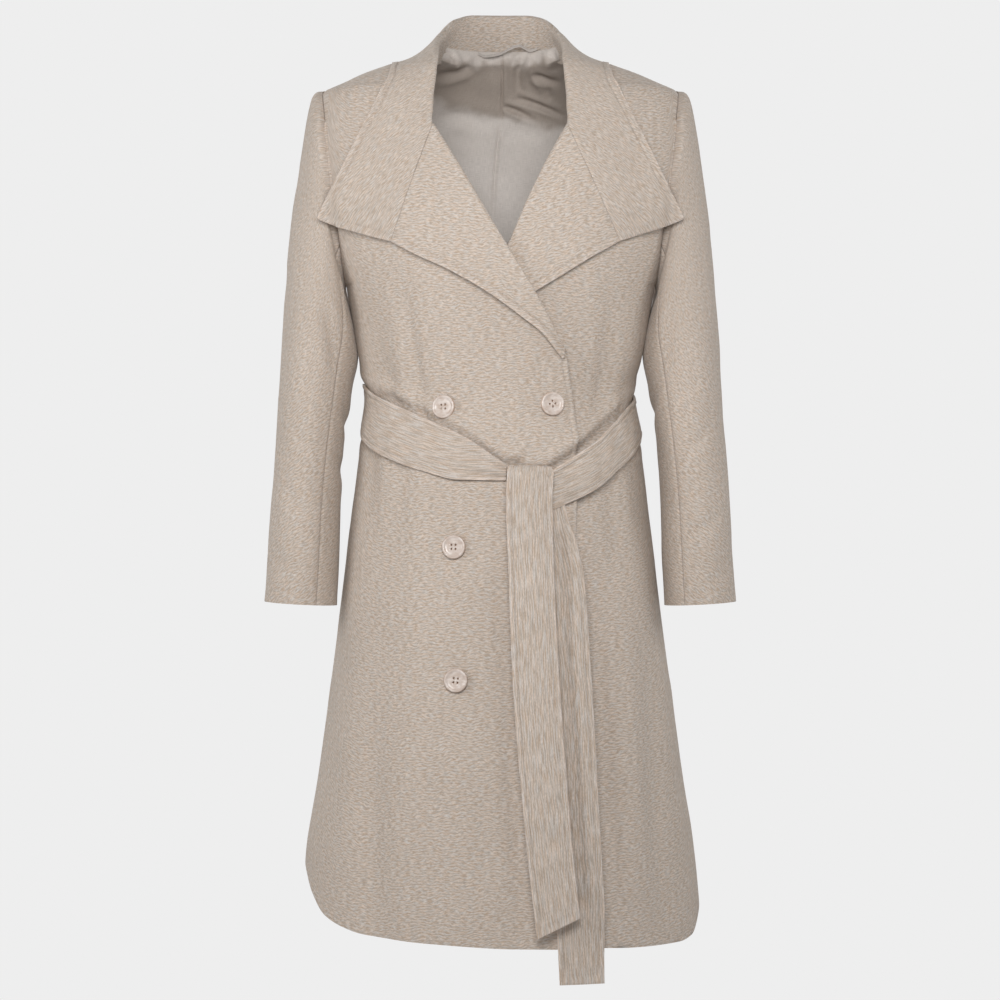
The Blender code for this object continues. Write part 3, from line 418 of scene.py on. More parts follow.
LINING_CREASES = (
    (-0.0809, -0.0073, -0.0553, -0.0012, -0.0260, 0.0110, 0.0036, 0.0032, 0.45, 0.60),
    (-0.0770, 0.0158, -0.0610, 0.0160, -0.0570, 0.0075, 0.0028, 0.0026, 0.50, 0.50),
    (-0.0480, 0.0180, -0.0420, 0.0060, -0.0240, -0.0060, 0.0050, 0.0016, 0.40, 0.40),
    (0.0330, 0.0190, 0.0220, 0.0020, 0.0235, -0.0200, 0.0040, 0.0036, 0.45, 0.70),
    (0.0330, 0.0090, 0.0420, -0.0060, 0.0500, -0.0220, 0.0048, -0.0030, 0.50, 0.20),
    (0.0371, -0.0012, 0.0517, -0.0061, 0.0740, -0.0134, 0.0032, 0.0034, 0.45, 0.60),
    (0.0675, 0.0231, 0.0640, 0.0120, 0.0730, -0.0012, 0.0040, 0.0036, 0.50, 0.50),
    (0.0600, -0.0150, 0.0590, -0.0230, 0.0630, -0.0310, 0.0036, 0.0020, 0.50, 0.30),
    (0.0030, -0.0365, 0.0237, -0.0438, 0.0440, -0.0545, 0.0030, 0.0034, 0.35, 0.50),
    (0.0188, -0.0267, 0.0480, -0.0365, 0.0800, -0.0500, 0.0030, 0.0034, 0.45, 0.50),
    (-0.0820, -0.0520, -0.0440, -0.0480, -0.0060, -0.0600, 0.0070, 0.0030, 0.45, 0.30),
    (0.0100, -0.0600, 0.0420, -0.0680, 0.0840, -0.0640, 0.0080, 0.0020, 0.45, 0.30),
    (0.0018, 0.0230, 0.0020, -0.0200, 0.0010, -0.0600, 0.0012, 0.0028, 0.45, 0.30),
    (0.0000, -0.0560, -0.0060, -0.1100, -0.0100, -0.1850, 0.0018, 0.0026, 0.40, 0.40),
)


# Curves and tables


def column(names, rows, name):
    place = names.index(name)
    return np.array([row[place] for row in rows], dtype=float)


def smooth(places, values, at):
    """A smooth curve through the values that never swings past them."""
    places = np.asarray(places, dtype=float)
    values = np.asarray(values, dtype=float)
    gaps = np.diff(places)
    slopes = np.diff(values) / gaps
    product = slopes[:-1] * slopes[1:]
    total = np.where(product > 0, slopes[:-1] + slopes[1:], 1.0)
    tangents = np.empty(len(places))
    tangents[0] = slopes[0]
    tangents[-1] = slopes[-1]
    tangents[1:-1] = np.where(product > 0, 2 * product / total, 0.0)
    at = np.clip(at, places[0], places[-1])
    low = np.clip(np.searchsorted(places, at, side="right") - 1, 0, len(places) - 2)
    share = (at - places[low]) / gaps[low]
    rest = 1 - share
    from_values = (1 + 2 * share) * rest**2 * values[low] + share**2 * (3 - 2 * share) * values[low + 1]
    from_tangents = share * rest**2 * tangents[low] - share**2 * rest * tangents[low + 1]
    return from_values + from_tangents * gaps[low]


def read(names, rows, name, at):
    """The named column as a smooth curve of the table's first column."""
    return smooth(column(names, rows, names[0]), column(names, rows, name), at)


def ease(low, high, at):
    share = np.clip((np.asarray(at, dtype=float) - low) / (high - low), 0, 1)
    return share * share * (3 - 2 * share)


def hump(at, middle, width):
    return np.exp(-(((at - middle) / width) ** 2))


def ripple(u, v, size, seed):
    """Soft lumps between -1 and 1, each of about the given size."""
    lattice = np.random.default_rng(seed).uniform(-1, 1, (64, 64))
    a = np.asarray(u) / size + 21.3
    b = np.asarray(v) / size + 17.7
    i = np.floor(a).astype(int)
    j = np.floor(b).astype(int)
    fa = a - i
    fb = b - j
    fa = fa**3 * (fa * (6 * fa - 15) + 10)
    fb = fb**3 * (fb * (6 * fb - 15) + 10)
    low = lattice[i % 64, j % 64] * (1 - fa) + lattice[(i + 1) % 64, j % 64] * fa
    high = lattice[i % 64, (j + 1) % 64] * (1 - fa) + lattice[(i + 1) % 64, (j + 1) % 64] * fa
    return low * (1 - fb) + high * fb


# The coat's form, as in the solids


def half_width(z):
    """Half the body's width, up the side, the armhole and the shoulder ridge."""
    z = np.asarray(z, dtype=float)
    armhole = UNDERARM_X + (z - UNDERARM) * (TIP_X - UNDERARM_X) / (SHOULDER_TIP - UNDERARM)
    ridge = RIDGE_NECK_X + (RIDGE_NECK_Z - z) * RIDGE_RUN
    below = read(TORSO_COLUMNS, TORSO, "half_width", z)
    lower = np.where(z > UNDERARM, armhole, below)
    return np.where(z > SHOULDER_TIP, ridge, lower)


def ridge_height(x):
    return RIDGE_NECK_Z - (np.abs(x) - RIDGE_NECK_X) / RIDGE_RUN


def armhole_depth(z, depth):
    share = np.clip((np.asarray(z, dtype=float) - ARMHOLE_MIDDLE) / ARMHOLE_HALF, -1, 1)
    return depth * np.sqrt(1 - share**2)


# The armhole's depth with its sharp foot evened out, for the cloth away from the seam
SOFT_LEVELS = np.linspace(-0.55, 0.05, 601)
SOFT_SPREAD = np.exp(-((np.arange(-75, 76) / 26.0) ** 2))
SOFT_ARMHOLE = np.convolve(armhole_depth(SOFT_LEVELS, 1.0), SOFT_SPREAD / SOFT_SPREAD.sum(), "same")


def panel_armhole(z, depth, shape):
    """The armhole's depth, eased out below the underarm away from the seam."""
    exact = armhole_depth(z, depth)
    soft = depth * np.interp(z, SOFT_LEVELS, SOFT_ARMHOLE)
    inward = ease(0.02, 0.40, shape) * (1 - ease(ARMHOLE_MIDDLE - 0.03, ARMHOLE_MIDDLE + 0.02, z))
    return exact + (soft - exact) * inward


def section_shape(x, z):
    share = np.clip(np.abs(x) / half_width(z), 0, 1)
    roundness = read(TORSO_COLUMNS, TORSO, "roundness", z)
    power = read(TORSO_COLUMNS, TORSO, "edge_power", z)
    return (1 - share**roundness) ** power


def fold_depth(x, z):
    total = np.zeros(np.broadcast(x, z).shape)
    for top_x, top_z, foot_x, foot_z, width, depth in FOLDS:
        share = np.clip((top_z - z) / (top_z - foot_z), 0, 1)
        middle = top_x + (foot_x - top_x) * share
        along = np.sin(np.pi * share) ** FOLD_END_POWER
        total = total + depth * along * hump(x, middle, width)
    return total


def front_depth(x, z):
    """How far the front lies before the middle plane."""
    shape = section_shape(x, z)
    armhole = panel_armhole(z, ARMHOLE_FRONT, shape)
    deepest = read(TORSO_COLUMNS, TORSO, "front", z)
    folds = fold_depth(x, z) * np.clip(FOLD_SIDE_FADE * shape, 0, 1)
    return armhole + (deepest - armhole) * shape - folds


def back_depth(x, z):
    """How far the back lies behind the middle plane."""
    shape = section_shape(x, z)
    armhole = panel_armhole(z, ARMHOLE_BACK, shape)
    deepest = read(TORSO_COLUMNS, TORSO, "back", z)
    return armhole + (deepest - armhole) * shape


def leans(depth, x, z):
    along_x = (depth(x + SLOPE_STEP, z) - depth(x - SLOPE_STEP, z)) / (2 * SLOPE_STEP)
    along_z = (depth(x, z + SLOPE_STEP) - depth(x, z - SLOPE_STEP)) / (2 * SLOPE_STEP)
    return along_x, along_z


def slope(depth, x, z):
    """How much longer a step straight out is than a step square to the cloth."""
    along_x, along_z = leans(depth, x, z)
    return np.minimum(np.sqrt(1 + along_x**2 + along_z**2), MOST_SLOPE)


def overlap(side, x, z):
    """Extra lift of the front that lies on top."""
    if side > 0:
        return np.zeros(np.broadcast(x, z).shape)
    across = 1 - ease(*LIFT_FADE_X, -np.asarray(x))
    return OVERLAP_LIFT * across * (1 - ease(*LIFT_FADE_Z, z))


def on_front(side, x, z, lift):
    """Points over the front at x and z, lifted square to the cloth."""
    depth = front_depth(x, z) + (overlap(side, x, z) + lift) * slope(front_depth, x, z)
    return np.stack(np.broadcast_arrays(x, -depth, z), axis=-1)


def on_back(x, z, lift):
    depth = back_depth(x, z) + lift * slope(back_depth, x, z)
    return np.stack(np.broadcast_arrays(x, depth, z), axis=-1)


def inside_back(x, z, inset):
    """Points inside the back, moved in square to the cloth."""
    along_x, along_z = leans(back_depth, x, z)
    step = inset / np.sqrt(1 + along_x**2 + along_z**2)
    return np.stack([x + step * along_x, back_depth(x, z) - step, z + step * along_z], axis=-1)


def hem_drop(turn, level, rise):
    """The row height once the curved hem has drawn the skirt rows up. turn is negative to the right."""
    from_middle = np.degrees(np.abs(turn))
    right = read(HEM_COLUMNS, HEM_CURVE, "right", from_middle)
    left = read(HEM_COLUMNS, HEM_CURVE, "left", from_middle)
    hem = np.where(turn < 0, right, left) + rise
    stretched = WAIST + (level - WAIST) * (WAIST - hem) / (WAIST - HEM)
    return np.where(level < WAIST, stretched, level)


# Cloth detail


def creases(place, rows):
    """Height of soft troughs and ridges at flat places on a piece, each along a bent line."""
    flat = place.reshape(-1, 2)
    total = np.zeros(len(flat))
    shares = np.linspace(0, 1, CREASE_POINTS)
    for x0, z0, x1, z1, x2, z2, width, depth, peak, lip in rows:
        start, middle, end = np.array((x0, z0)), np.array((x1, z1)), np.array((x2, z2))
        bend = 2 * middle - (start + end) / 2
        line = [(1 - s) ** 2 * start + 2 * s * (1 - s) * bend + s**2 * end for s in shares]
        least = np.full(len(flat), np.inf)
        along = np.zeros(len(flat))
        for one, other, first in zip(line, line[1:], shares):
            run = other - one
            share = np.clip(((flat - one) @ run) / (run @ run), 0, 1)
            away = np.sum((flat - one - share[:, None] * run) ** 2, axis=1)
            nearer = away < least
            least = np.where(nearer, away, least)
            along = np.where(nearer, first + share * shares[1], along)
        away = np.sqrt(least)
        shifted = np.clip(along, 0, 1) ** (math.log(0.5) / math.log(peak))
        strength = np.sin(np.pi * shifted) ** CREASE_END_POWER
        trough = hump(away, 0, width) - lip * hump(away, LIP_AWAY * width, LIP_WIDTH * width)
        total -= depth * strength * trough
    return total.reshape(place.shape[:-1])


def stitched_edge(away, line, puff=0.0006, groove=0.0008):
    """Height of a stitched edge: a soft strip, and a groove at the line of stitches."""
    strip = puff * (1 - ease(line - 0.0016, line, away)) * ease(0.0, 0.0020, away)
    return strip - groove * hump(away, line, 0.0011)


def seam_dip(away, depth=0.0010, width=0.0022):
    return -depth * hump(away, 0, width)


def facing(points, way=1):
    """Unit vectors square to a grid of points, out of its shown face.

    way is -1 where the columns run backwards.
    """
    grid = points[:, ::way]
    square = np.cross(np.gradient(grid, axis=1), np.gradient(grid, axis=0))
    square = square / np.maximum(np.linalg.norm(square, axis=-1, keepdims=True), 1e-12)
    return square[:, ::way]


def run_along(points, axis):
    """Length along each row or column of a grid, from its first point."""
    steps = np.linalg.norm(np.diff(points, axis=axis), axis=-1)
    first = np.zeros_like(np.take(steps, [0], axis=axis))
    return np.concatenate([first, np.cumsum(steps, axis=axis)], axis=axis)


def away_from(points, line):
    """Distance of each point of a grid from a line of points."""
    flat = points.reshape(-1, 3)
    least = np.full(len(flat), np.inf)
    for one, other in zip(line, line[1:]):
        run = other - one
        share = np.clip(((flat - one) @ run) / max(run @ run, 1e-16), 0, 1)
        least = np.minimum(least, np.sum((flat - one - share[:, None] * run) ** 2, axis=1))
    return np.sqrt(least).reshape(points.shape[:-1])


def soften(points, rounds):
    """Evens out small kinks inside a grid, and leaves its borders."""
    points = points.copy()
    for _ in range(rounds):
        up = points[:-2, 1:-1] + points[2:, 1:-1]
        along = points[1:-1, :-2] + points[1:-1, 2:]
        points[1:-1, 1:-1] = points[1:-1, 1:-1] * 0.5 + (up + along) * 0.125
    return points


def turned(weave, degrees):
    """Weave places turned so that the streaks of the cloth run another way."""
    angle = math.radians(degrees)
    u = weave[..., 0] * math.cos(angle) + weave[..., 1] * math.sin(angle)
    v = weave[..., 1] * math.cos(angle) - weave[..., 0] * math.sin(angle)
    return np.stack([u, v], axis=-1)


# Objects

# Painted highlight along the edges of a piece: its distance from the edge and half width
EDGE_HIGHLIGHT_REACH = (0.0008, 0.0019)
RIM_ANGLE = math.radians(62)
PANEL_RIM = 0.18
EDGE_RIM = 0.30


def show(name, bm, look):
    """The finished mesh as an object of the scene."""
    mesh = bpy.data.meshes.new(name)
    bm.to_mesh(mesh)
    bm.free()
    mesh.shade_smooth()
    mesh.materials.append(look)
    piece = bpy.data.objects.new(name, mesh)
    bpy.context.scene.collection.objects.link(piece)
    return piece


def wear(piece, node=None):
    """Ties a piece to the coat's body, in place of its solid where it has one."""
    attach(piece, "root")
    if node:
        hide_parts(node)
    return piece


def cloth_piece(node, points, weave, wall, look, soft_edge=EDGE_RIM, to_edge=None):
    """A cloth shell on a grid of points, its wall towards the hidden face and its edges rounded."""
    rows, columns = points.shape[:2]
    bm = bmesh.new()
    bmesh.ops.create_grid(bm, x_segments=columns - 1, y_segments=rows - 1, size=1.0)
    for vert, point in zip(bm.verts, points.reshape(-1, 3)):
        vert.co = point
    bm.verts.index_update()
    layer = bm.loops.layers.uv.new("weave")
    flat = weave.reshape(-1, 2)
    for face in bm.faces:
        for loop in face.loops:
            loop[layer].uv = flat[loop.vert.index]
    # Painted highlight: a lightening near the edges, read by the wool material
    if to_edge is not None:
        layer = bm.verts.layers.float.new("painted_edge_highlight")
        for vert, near in zip(bm.verts, hump(to_edge, *EDGE_HIGHLIGHT_REACH).reshape(-1)):
            vert[layer] = near
    piece = show(node + "_cloth", bm, look)
    shell = piece.modifiers.new("wall", "SOLIDIFY")
    shell.thickness = wall
    shell.offset = -1.0
    shell.use_even_offset = False
    shell.use_rim = True
    shell.use_quality_normals = True
    rim = piece.modifiers.new("soft_edge", "BEVEL")
    rim.width = wall * soft_edge
    rim.segments = 2
    rim.limit_method = "ANGLE"
    rim.angle_limit = RIM_ANGLE
    rim.use_clamp_overlap = True
    return wear(piece, node)


def spread(weave):
    """Width and length of the cut, from the unturned weave places."""
    return float(np.ptp(weave[..., 0])), float(np.ptp(weave[..., 1]))


def stitches(name, lines, look):
    """Rows of sewn stitches along lines of (points, outward vectors), as one piece."""
    bm = bmesh.new()
    for points, out in lines:
        lengths = np.concatenate([[0], np.cumsum(np.linalg.norm(np.diff(points, axis=0), axis=1))])
        starts = np.arange(STITCH_START, lengths[-1] - STITCH_LENGTH, STITCH_LENGTH + STITCH_GAP)
        for start in starts:
            ends = []
            for at in (start, start + STITCH_LENGTH):
                ends.append(np.array([np.interp(at, lengths, points[:, k]) for k in range(3)]))
            middle = start + STITCH_LENGTH / 2
            up = Vector([np.interp(middle, lengths, out[:, k]) for k in range(3)]).normalized()
            along = Vector(ends[1] - ends[0])
            aside = up.cross(along).normalized()
            up = along.cross(aside).normalized()
            turn = Matrix((along.normalized(), aside, up)).transposed().to_4x4()
            size = Matrix.Diagonal((along.length / 2, STITCH_WIDTH / 2, STITCH_WIDTH * STITCH_HEIGHT, 1.0))
            place = Matrix.Translation(Vector((ends[0] + ends[1]) / 2) + up * STITCH_WIDTH * STITCH_RISE)
            bmesh.ops.create_uvsphere(bm, u_segments=5, v_segments=4, radius=1.0, matrix=place @ turn @ size)
    return wear(show(name, bm, look))


# Materials


class Look:
    """A node material built up step by step around one shader."""

    def __init__(self, name, roughness, **fixed):
        self.material = bpy.data.materials.new(name)
        self.material.use_nodes = True
        self.nodes = self.material.node_tree.nodes
        self.links = self.material.node_tree.links
        self.shader = self.nodes["Principled BSDF"]
        self.shader.inputs["Roughness"].default_value = roughness
        for socket, value in fixed.items():
            self.shader.inputs[socket.replace("_", " ")].default_value = value

    def add(self, kind, settings=None, **inputs):
        """A new node. Inputs are given by name, or by number as i0, i1 and so on."""
        node = self.nodes.new("ShaderNode" + kind)
        for name, value in (settings or {}).items():
            setattr(node, name, value)
        for name, value in inputs.items():
            numbered = name[0] == "i" and name[1:].isdigit()
            socket = node.inputs[int(name[1:]) if numbered else name]
            if isinstance(value, bpy.types.NodeSocket):
                self.links.new(value, socket)
            else:
                socket.default_value = value
        return node

    def noise(self, vector, scale, detail=2.0, rough=0.5, dims="2D"):
        made = {"Vector": vector, "Scale": scale, "Detail": detail, "Roughness": rough}
        return self.add("TexNoise", {"noise_dimensions": dims}, **made).outputs["Fac"]

    def math(self, how, one, other=0.0):
        return self.add("Math", {"operation": how}, i0=one, i1=other).outputs[0]

    def vector(self, how, one, other=(0.0, 0.0, 0.0)):
        return self.add("VectorMath", {"operation": how}, i0=one, i1=other).outputs[0]

    def span(self, value, low, high, to_low=0.0, to_high=1.0):
        made = {"i0": value, "i1": low, "i2": high, "i3": to_low, "i4": to_high}
        return self.add("MapRange", {"interpolation_type": "SMOOTHSTEP"}, **made).outputs[0]

    def mix(self, share, one, other, how="MIX"):
        node = self.add("Mix", {"data_type": "RGBA", "blend_type": how}, i0=share, i6=one, i7=other)
        return node.outputs[2]

    def colour(self, socket):
        self.links.new(socket, self.shader.inputs["Base Color"])

    def rough(self, socket):
        self.links.new(socket, self.shader.inputs["Roughness"])

    def relief(self, height, strength, distance):
        node = self.add("Bump", None, Height=height, Strength=strength, Distance=distance)
        self.links.new(node.outputs["Normal"], self.shader.inputs["Normal"])


# Dark and pale tones of the wool's yarn, factors for its flecks, fibres and clouds, and for a highlight
# painted along the rolled edges
YARN_TONES = ((0.448, 0.368, 0.302, 1.0), (0.600, 0.531, 0.476, 1.0))
FLECK_TONES = ((0.968, 1.006, 1.040, 1.0), (1.042, 0.985, 0.930, 1.0))
FIBRE_TONES = ((0.87, 0.87, 0.875, 1.0), (1.10, 1.10, 1.095, 1.0))
CLOUD_TONES = ((0.985, 0.983, 0.980, 1.0), (1.015, 1.015, 1.015, 1.0))
EDGE_HIGHLIGHT_TONES = ((1.0, 1.0, 1.0, 1.0), (1.12, 1.12, 1.13, 1.0))
WOOL_SHEEN = {"Sheen_Weight": 0.18, "Sheen_Roughness": 0.55, "Sheen_Tint": (1.0, 0.95, 0.88, 1.0)}

# Tones of the other finishes, dark and pale
SATIN_TONES = ((0.620, 0.568, 0.524, 1.0), (0.744, 0.686, 0.640, 1.0))
# Painted shade of the lining in the deep part of the neck, under the collar
SATIN_PAINTED_SHADE = (0.620, 0.578, 0.540, 1.0)
TAPE_TONES = ((0.560, 0.510, 0.470, 1.0), (0.680, 0.625, 0.580, 1.0))
PEARL_TONES = ((0.560, 0.455, 0.390, 1.0), (0.680, 0.600, 0.548, 1.0))
# Brown painted at the button's rim as shade
PEARL_RIM_SHADE = (0.420, 0.270, 0.180, 1.0)
SEWING_TONES = ((0.430, 0.358, 0.290, 1.0), (0.620, 0.550, 0.480, 1.0))
PALE_THREAD_TONES = ((0.560, 0.460, 0.390, 1.0), (0.700, 0.610, 0.540, 1.0))
# Dark brown of the rod under each button, painted shade in its holes
HOLE_SHADE_TONES = ((0.190, 0.105, 0.060, 1.0), (0.330, 0.205, 0.130, 1.0))


def wool_look(name, wave=1.0, slant=0.10, streak=155.0, pitch=0.0034):
    """Brushed wool: wavy broken lines of light and dark yarn, with tan and grey fibres among them."""
    look = Look(name, 0.95, Specular_IOR_Level=0.25, **WOOL_SHEEN)
    place = look.add("UVMap", {"uv_map": "weave"}).outputs["UV"]
    slow = look.math("MULTIPLY", look.noise(place, 42.0, 1.0), 0.0080 * wave)
    quick = look.math("MULTIPLY", look.noise(place, 210.0, 1.0), 0.0013 * wave)
    along = look.add("SeparateXYZ", None, i0=place).outputs["X"]
    sway = look.math("ADD", look.math("ADD", slow, quick), look.math("MULTIPLY", along, -slant))
    wavy = look.vector("ADD", place, look.add("CombineXYZ", None, Y=sway).outputs[0])
    across = look.add("SeparateXYZ", None, i0=wavy).outputs["Y"]
    line = look.math("SINE", look.math("MULTIPLY", across, 2 * math.pi / pitch))
    yarn = look.noise(look.vector("MULTIPLY", wavy, (streak, 780.0, 1.0)), 1.0, 1.6, 0.55)
    ridge = look.math("ADD", yarn, look.math("MULTIPLY", line, 0.058))
    shifted = look.vector("ADD", wavy, (0.37, 0.61, 0.0))
    tint = look.noise(look.vector("MULTIPLY", shifted, (streak * 0.7, 700.0, 1.0)), 1.0, 1.6, 0.55)
    fibre = look.noise(look.vector("MULTIPLY", wavy, (330.0, 1700.0, 1.0)), 1.0, 2.0, 0.6)
    cloud = look.noise(place, 9.0, 2.0)
    # Painted highlight: the cloth is lighter near the edges of the collar, lapels and belt
    painted_edge_highlight = look.add("Attribute", {"attribute_name": "painted_edge_highlight"}).outputs["Fac"]
    tone = look.mix(look.span(ridge, 0.34, 0.66), *YARN_TONES)
    for share, tones in (
        (look.span(tint, 0.34, 0.66), FLECK_TONES),
        (look.span(fibre, 0.30, 0.72), FIBRE_TONES),
        (look.span(cloud, 0.30, 0.70), CLOUD_TONES),
        (painted_edge_highlight, EDGE_HIGHLIGHT_TONES),
    ):
        tone = look.mix(1.0, tone, look.mix(share, *tones), "MULTIPLY")
    look.colour(tone)
    look.rough(look.span(ridge, 0.35, 0.65, 0.98, 0.86))
    height = look.math("ADD", look.math("MULTIPLY", ridge, 0.8), look.math("MULTIPLY", fibre, 0.4))
    look.relief(height, 0.55, 0.0007)
    return look.material


def satin_look(name, tones, roughness, painted_shade=None):
    """Satin. The last argument is a tone painted in as shade in the deep part of the neck, over a slanting
    uneven line.
    """
    look = Look(name, roughness, Specular_IOR_Level=0.30, Sheen_Weight=0.05)
    place = look.add("UVMap", {"uv_map": "weave"}).outputs["UV"]
    thread = look.noise(look.vector("MULTIPLY", place, (2600.0, 90.0, 1.0)), 1.0, 2.0, 0.5)
    weft = look.noise(look.vector("MULTIPLY", place, (120.0, 2200.0, 1.0)), 1.0, 1.0, 0.5)
    cloud = look.noise(place, 16.0, 2.0)
    yarn = look.math("ADD", look.math("MULTIPLY", thread, 0.6), look.math("MULTIPLY", weft, 0.4))
    base = look.mix(look.span(yarn, 0.36, 0.64), *tones)
    toned = look.mix(look.span(cloud, 0.3, 0.7, 0.0, 0.35), base, tones[0])
    # Painted shade: the lining is darkened in the deep part of the neck, over a slanting uneven line, and
    # less so in the band at the top
    if painted_shade:
        spot = look.add("TexCoord").outputs["Object"]
        parts = look.add("SeparateXYZ", None, i0=spot)
        uneven = look.math("MULTIPLY", look.noise(spot, 38.0, 2.0, 0.5, "3D"), 0.020)
        slope = look.math("ADD", parts.outputs["Z"], look.math("MULTIPLY", parts.outputs["X"], 0.215))
        deep_in = look.span(look.math("ADD", slope, uneven), -0.045, -0.033)
        wavy = look.math("MULTIPLY", look.noise(spot, 56.0, 2.0, 0.5, "3D"), 0.034)
        below = look.span(look.math("ADD", parts.outputs["Z"], wavy), 0.016, 0.034, 1.0, 0.20)
        share = look.math("MULTIPLY", deep_in, below)
        toned = look.mix(share, toned, painted_shade, "MULTIPLY")
    look.colour(toned)
    look.rough(look.span(cloud, 0.3, 0.7, roughness - 0.05, roughness + 0.08))
    look.relief(yarn, 0.25, 0.0003)
    return look.material


def pearl_look(name):
    """Cloudy pearl, with a brown ring painted at the button's rim as shade, for its contact shadow and
    see-through edge.
    """
    look = Look(name, 0.22, Specular_IOR_Level=0.5, Coat_Weight=0.20, Coat_Roughness=0.15)
    place = look.add("TexCoord").outputs["Object"]
    swirl = look.noise(place, 90.0, 2.0, 0.5, "3D")
    bent = look.vector("MULTIPLY", place, (130.0, 80.0, 210.0))
    bent = look.vector("ADD", bent, look.add("CombineXYZ", None, X=swirl, Z=swirl).outputs[0])
    cloud = look.noise(bent, 1.0, 1.5, 0.5, "3D")
    pale = look.mix(look.span(cloud, 0.30, 0.70), *PEARL_TONES)
    # Painted shade: the colour turns brown towards the rim
    face = look.add("UVMap", {"uv_map": "face"}).outputs["UV"]
    outward = look.add("VectorMath", {"operation": "LENGTH"}, i0=face).outputs["Value"]
    look.colour(look.mix(look.span(outward, 0.93, 1.0, 0.0, 0.75), pale, PEARL_RIM_SHADE))
    look.rough(look.span(cloud, 0.3, 0.7, 0.18, 0.30))
    look.relief(cloud, 0.06, 0.0005)
    return look.material


def thread_look(name, tones):
    look = Look(name, 0.75, Sheen_Weight=0.1)
    place = look.add("TexCoord").outputs["Object"]
    ply = look.noise(look.vector("MULTIPLY", place, (2400.0, 2400.0, 2400.0)), 1.0, 2.0, 0.5, "3D")
    look.colour(look.mix(look.span(ply, 0.35, 0.65), *tones))
    look.relief(ply, 0.3, 0.0002)
    return look.material


WOOL = wool_look("oatmeal_wool")
BELT_WOOL = wool_look("oatmeal_wool_belt", wave=0.25, slant=0.0, streak=55.0, pitch=0.0027)
SATIN = satin_look("taupe_satin", SATIN_TONES, 0.58, SATIN_PAINTED_SHADE)
TAPE = satin_look("loop_satin", TAPE_TONES, 0.50)
PEARL = pearl_look("pearl_button")
SEWING = thread_look("oatmeal_thread", SEWING_TONES)
PALE_THREAD = thread_look("pale_thread", PALE_THREAD_TONES)
HOLE_SHADE_LOOK = thread_look("hole_shade_brown", HOLE_SHADE_TONES)


# Body panels

SKIRT_ROWS = 92
HIP_ROWS = 48
HIP = -0.5600
BODICE_ROWS = 44
ARMHOLE_ROWS = 56
SHOULDER_ROWS = 20
EDGE_STEPS = np.array((0.0, 0.0014, 0.0030, 0.0045, 0.0053, FRONT_STITCH, 0.0067, 0.0075, 0.0092, 0.0120))
FRONT_STITCH_COLUMN = 5
FRONT_STEPS = 82
BACK_STEPS = 104
SEAM_SHARES = np.array((0.986, 0.994, 1.0))
SEAM_START = 0.976
SEAM_CALM = 0.010
LAPEL_TUCK = 0.0070
TUCK_FADE = (BREAK - 0.004, BREAK + 0.040)

# Swell of the cloth beside the belt: height, distance from the belt's edge and half width
SIDE_ABOVE = (0.0034, 0.011, 0.011)
SIDE_BELOW = (0.0012, -0.014, 0.012)
FRONT_ABOVE = (0.0040, 0.011, 0.0080)
FRONT_TOP_DRAW = (0.0052, -0.002, 0.0070)
FRONT_BOTTOM_DRAW = (0.0010, 0.003, 0.006)

# Padding of the shoulder: height, where it starts and ends along the shoulder, and how far down it fades
PAD_HEIGHT = 0.0030
PAD_START = (0.1235, 0.1285)
PAD_END = (0.150, 0.205)
PAD_FADE = 0.030
TIP_BLUNT = (0.0010, 0.0022)
TIP_REACH = 0.0055


def panel_levels():
    skirt = np.linspace(HEM, HIP, SKIRT_ROWS + 1)[:-1]
    hip = np.linspace(HIP, WAIST, HIP_ROWS + 1)[:-1]
    bodice = np.linspace(WAIST, UNDERARM, BODICE_ROWS + 1)[:-1]
    turn = np.linspace(math.pi, 0, ARMHOLE_ROWS + 1)[:-1]
    armhole = ARMHOLE_MIDDLE + ARMHOLE_HALF * np.cos(turn)
    shoulder = np.linspace(SHOULDER_TIP, NECK_TOP, SHOULDER_ROWS + 1)
    return np.concatenate([skirt, hip, bodice, armhole, shoulder])


def belt_edge(angle, name):
    """Height of the belt's edge at an angle from the centre front, in degrees."""
    return read(BELT_TABLE, BELT, name, np.where(angle < 10, angle + 360, angle))


def beside(z, edge, height, away, width):
    return height * hump(z, edge + away, width)


def blouse(angle, z):
    """The cloth swells above and below the belt at the sides, and in front it is drawn in along the belt."""
    top = belt_edge(angle, "top_z")
    bottom = belt_edge(angle, "bottom_z")
    front = ease(0.30, 0.70, np.cos(np.radians(angle)))
    swell = beside(z, top, *SIDE_ABOVE) + beside(z, bottom, *SIDE_BELOW)
    drawn = beside(z, top, *FRONT_TOP_DRAW) + beside(z, bottom, *FRONT_BOTTOM_DRAW)
    return swell * (1 - front) + (beside(z, top, *FRONT_ABOVE) - drawn) * front


def shoulder_weave(points, weave):
    """Weave places that run on over the shoulder slope with the true lengths of the cloth."""
    chest = np.argmax(points[:, -1, 2] > CHEST_LINE)
    x, y, z = (points[chest, :, k] for k in range(3))
    order = np.argsort(x)
    for row in range(chest + 1, len(points)):
        at = points[row, :, 0]
        known = (y, z, weave[chest, :, 0], weave[chest, :, 1])
        below = [np.interp(at, x[order], values[order]) for values in known]
        weave[row, :, 0] = below[2]
        weave[row, :, 1] = below[3] + np.hypot(points[row, :, 1] - below[0], points[row, :, 2] - below[1])
    return weave


def panel_weave(points, u):
    """Weave places of a body panel: u across, and the run up the cloth."""
    upright = points.copy()
    upright[..., 0] = 0
    return shoulder_weave(points, np.stack([u, run_along(upright, 0) + HEM], axis=-1))


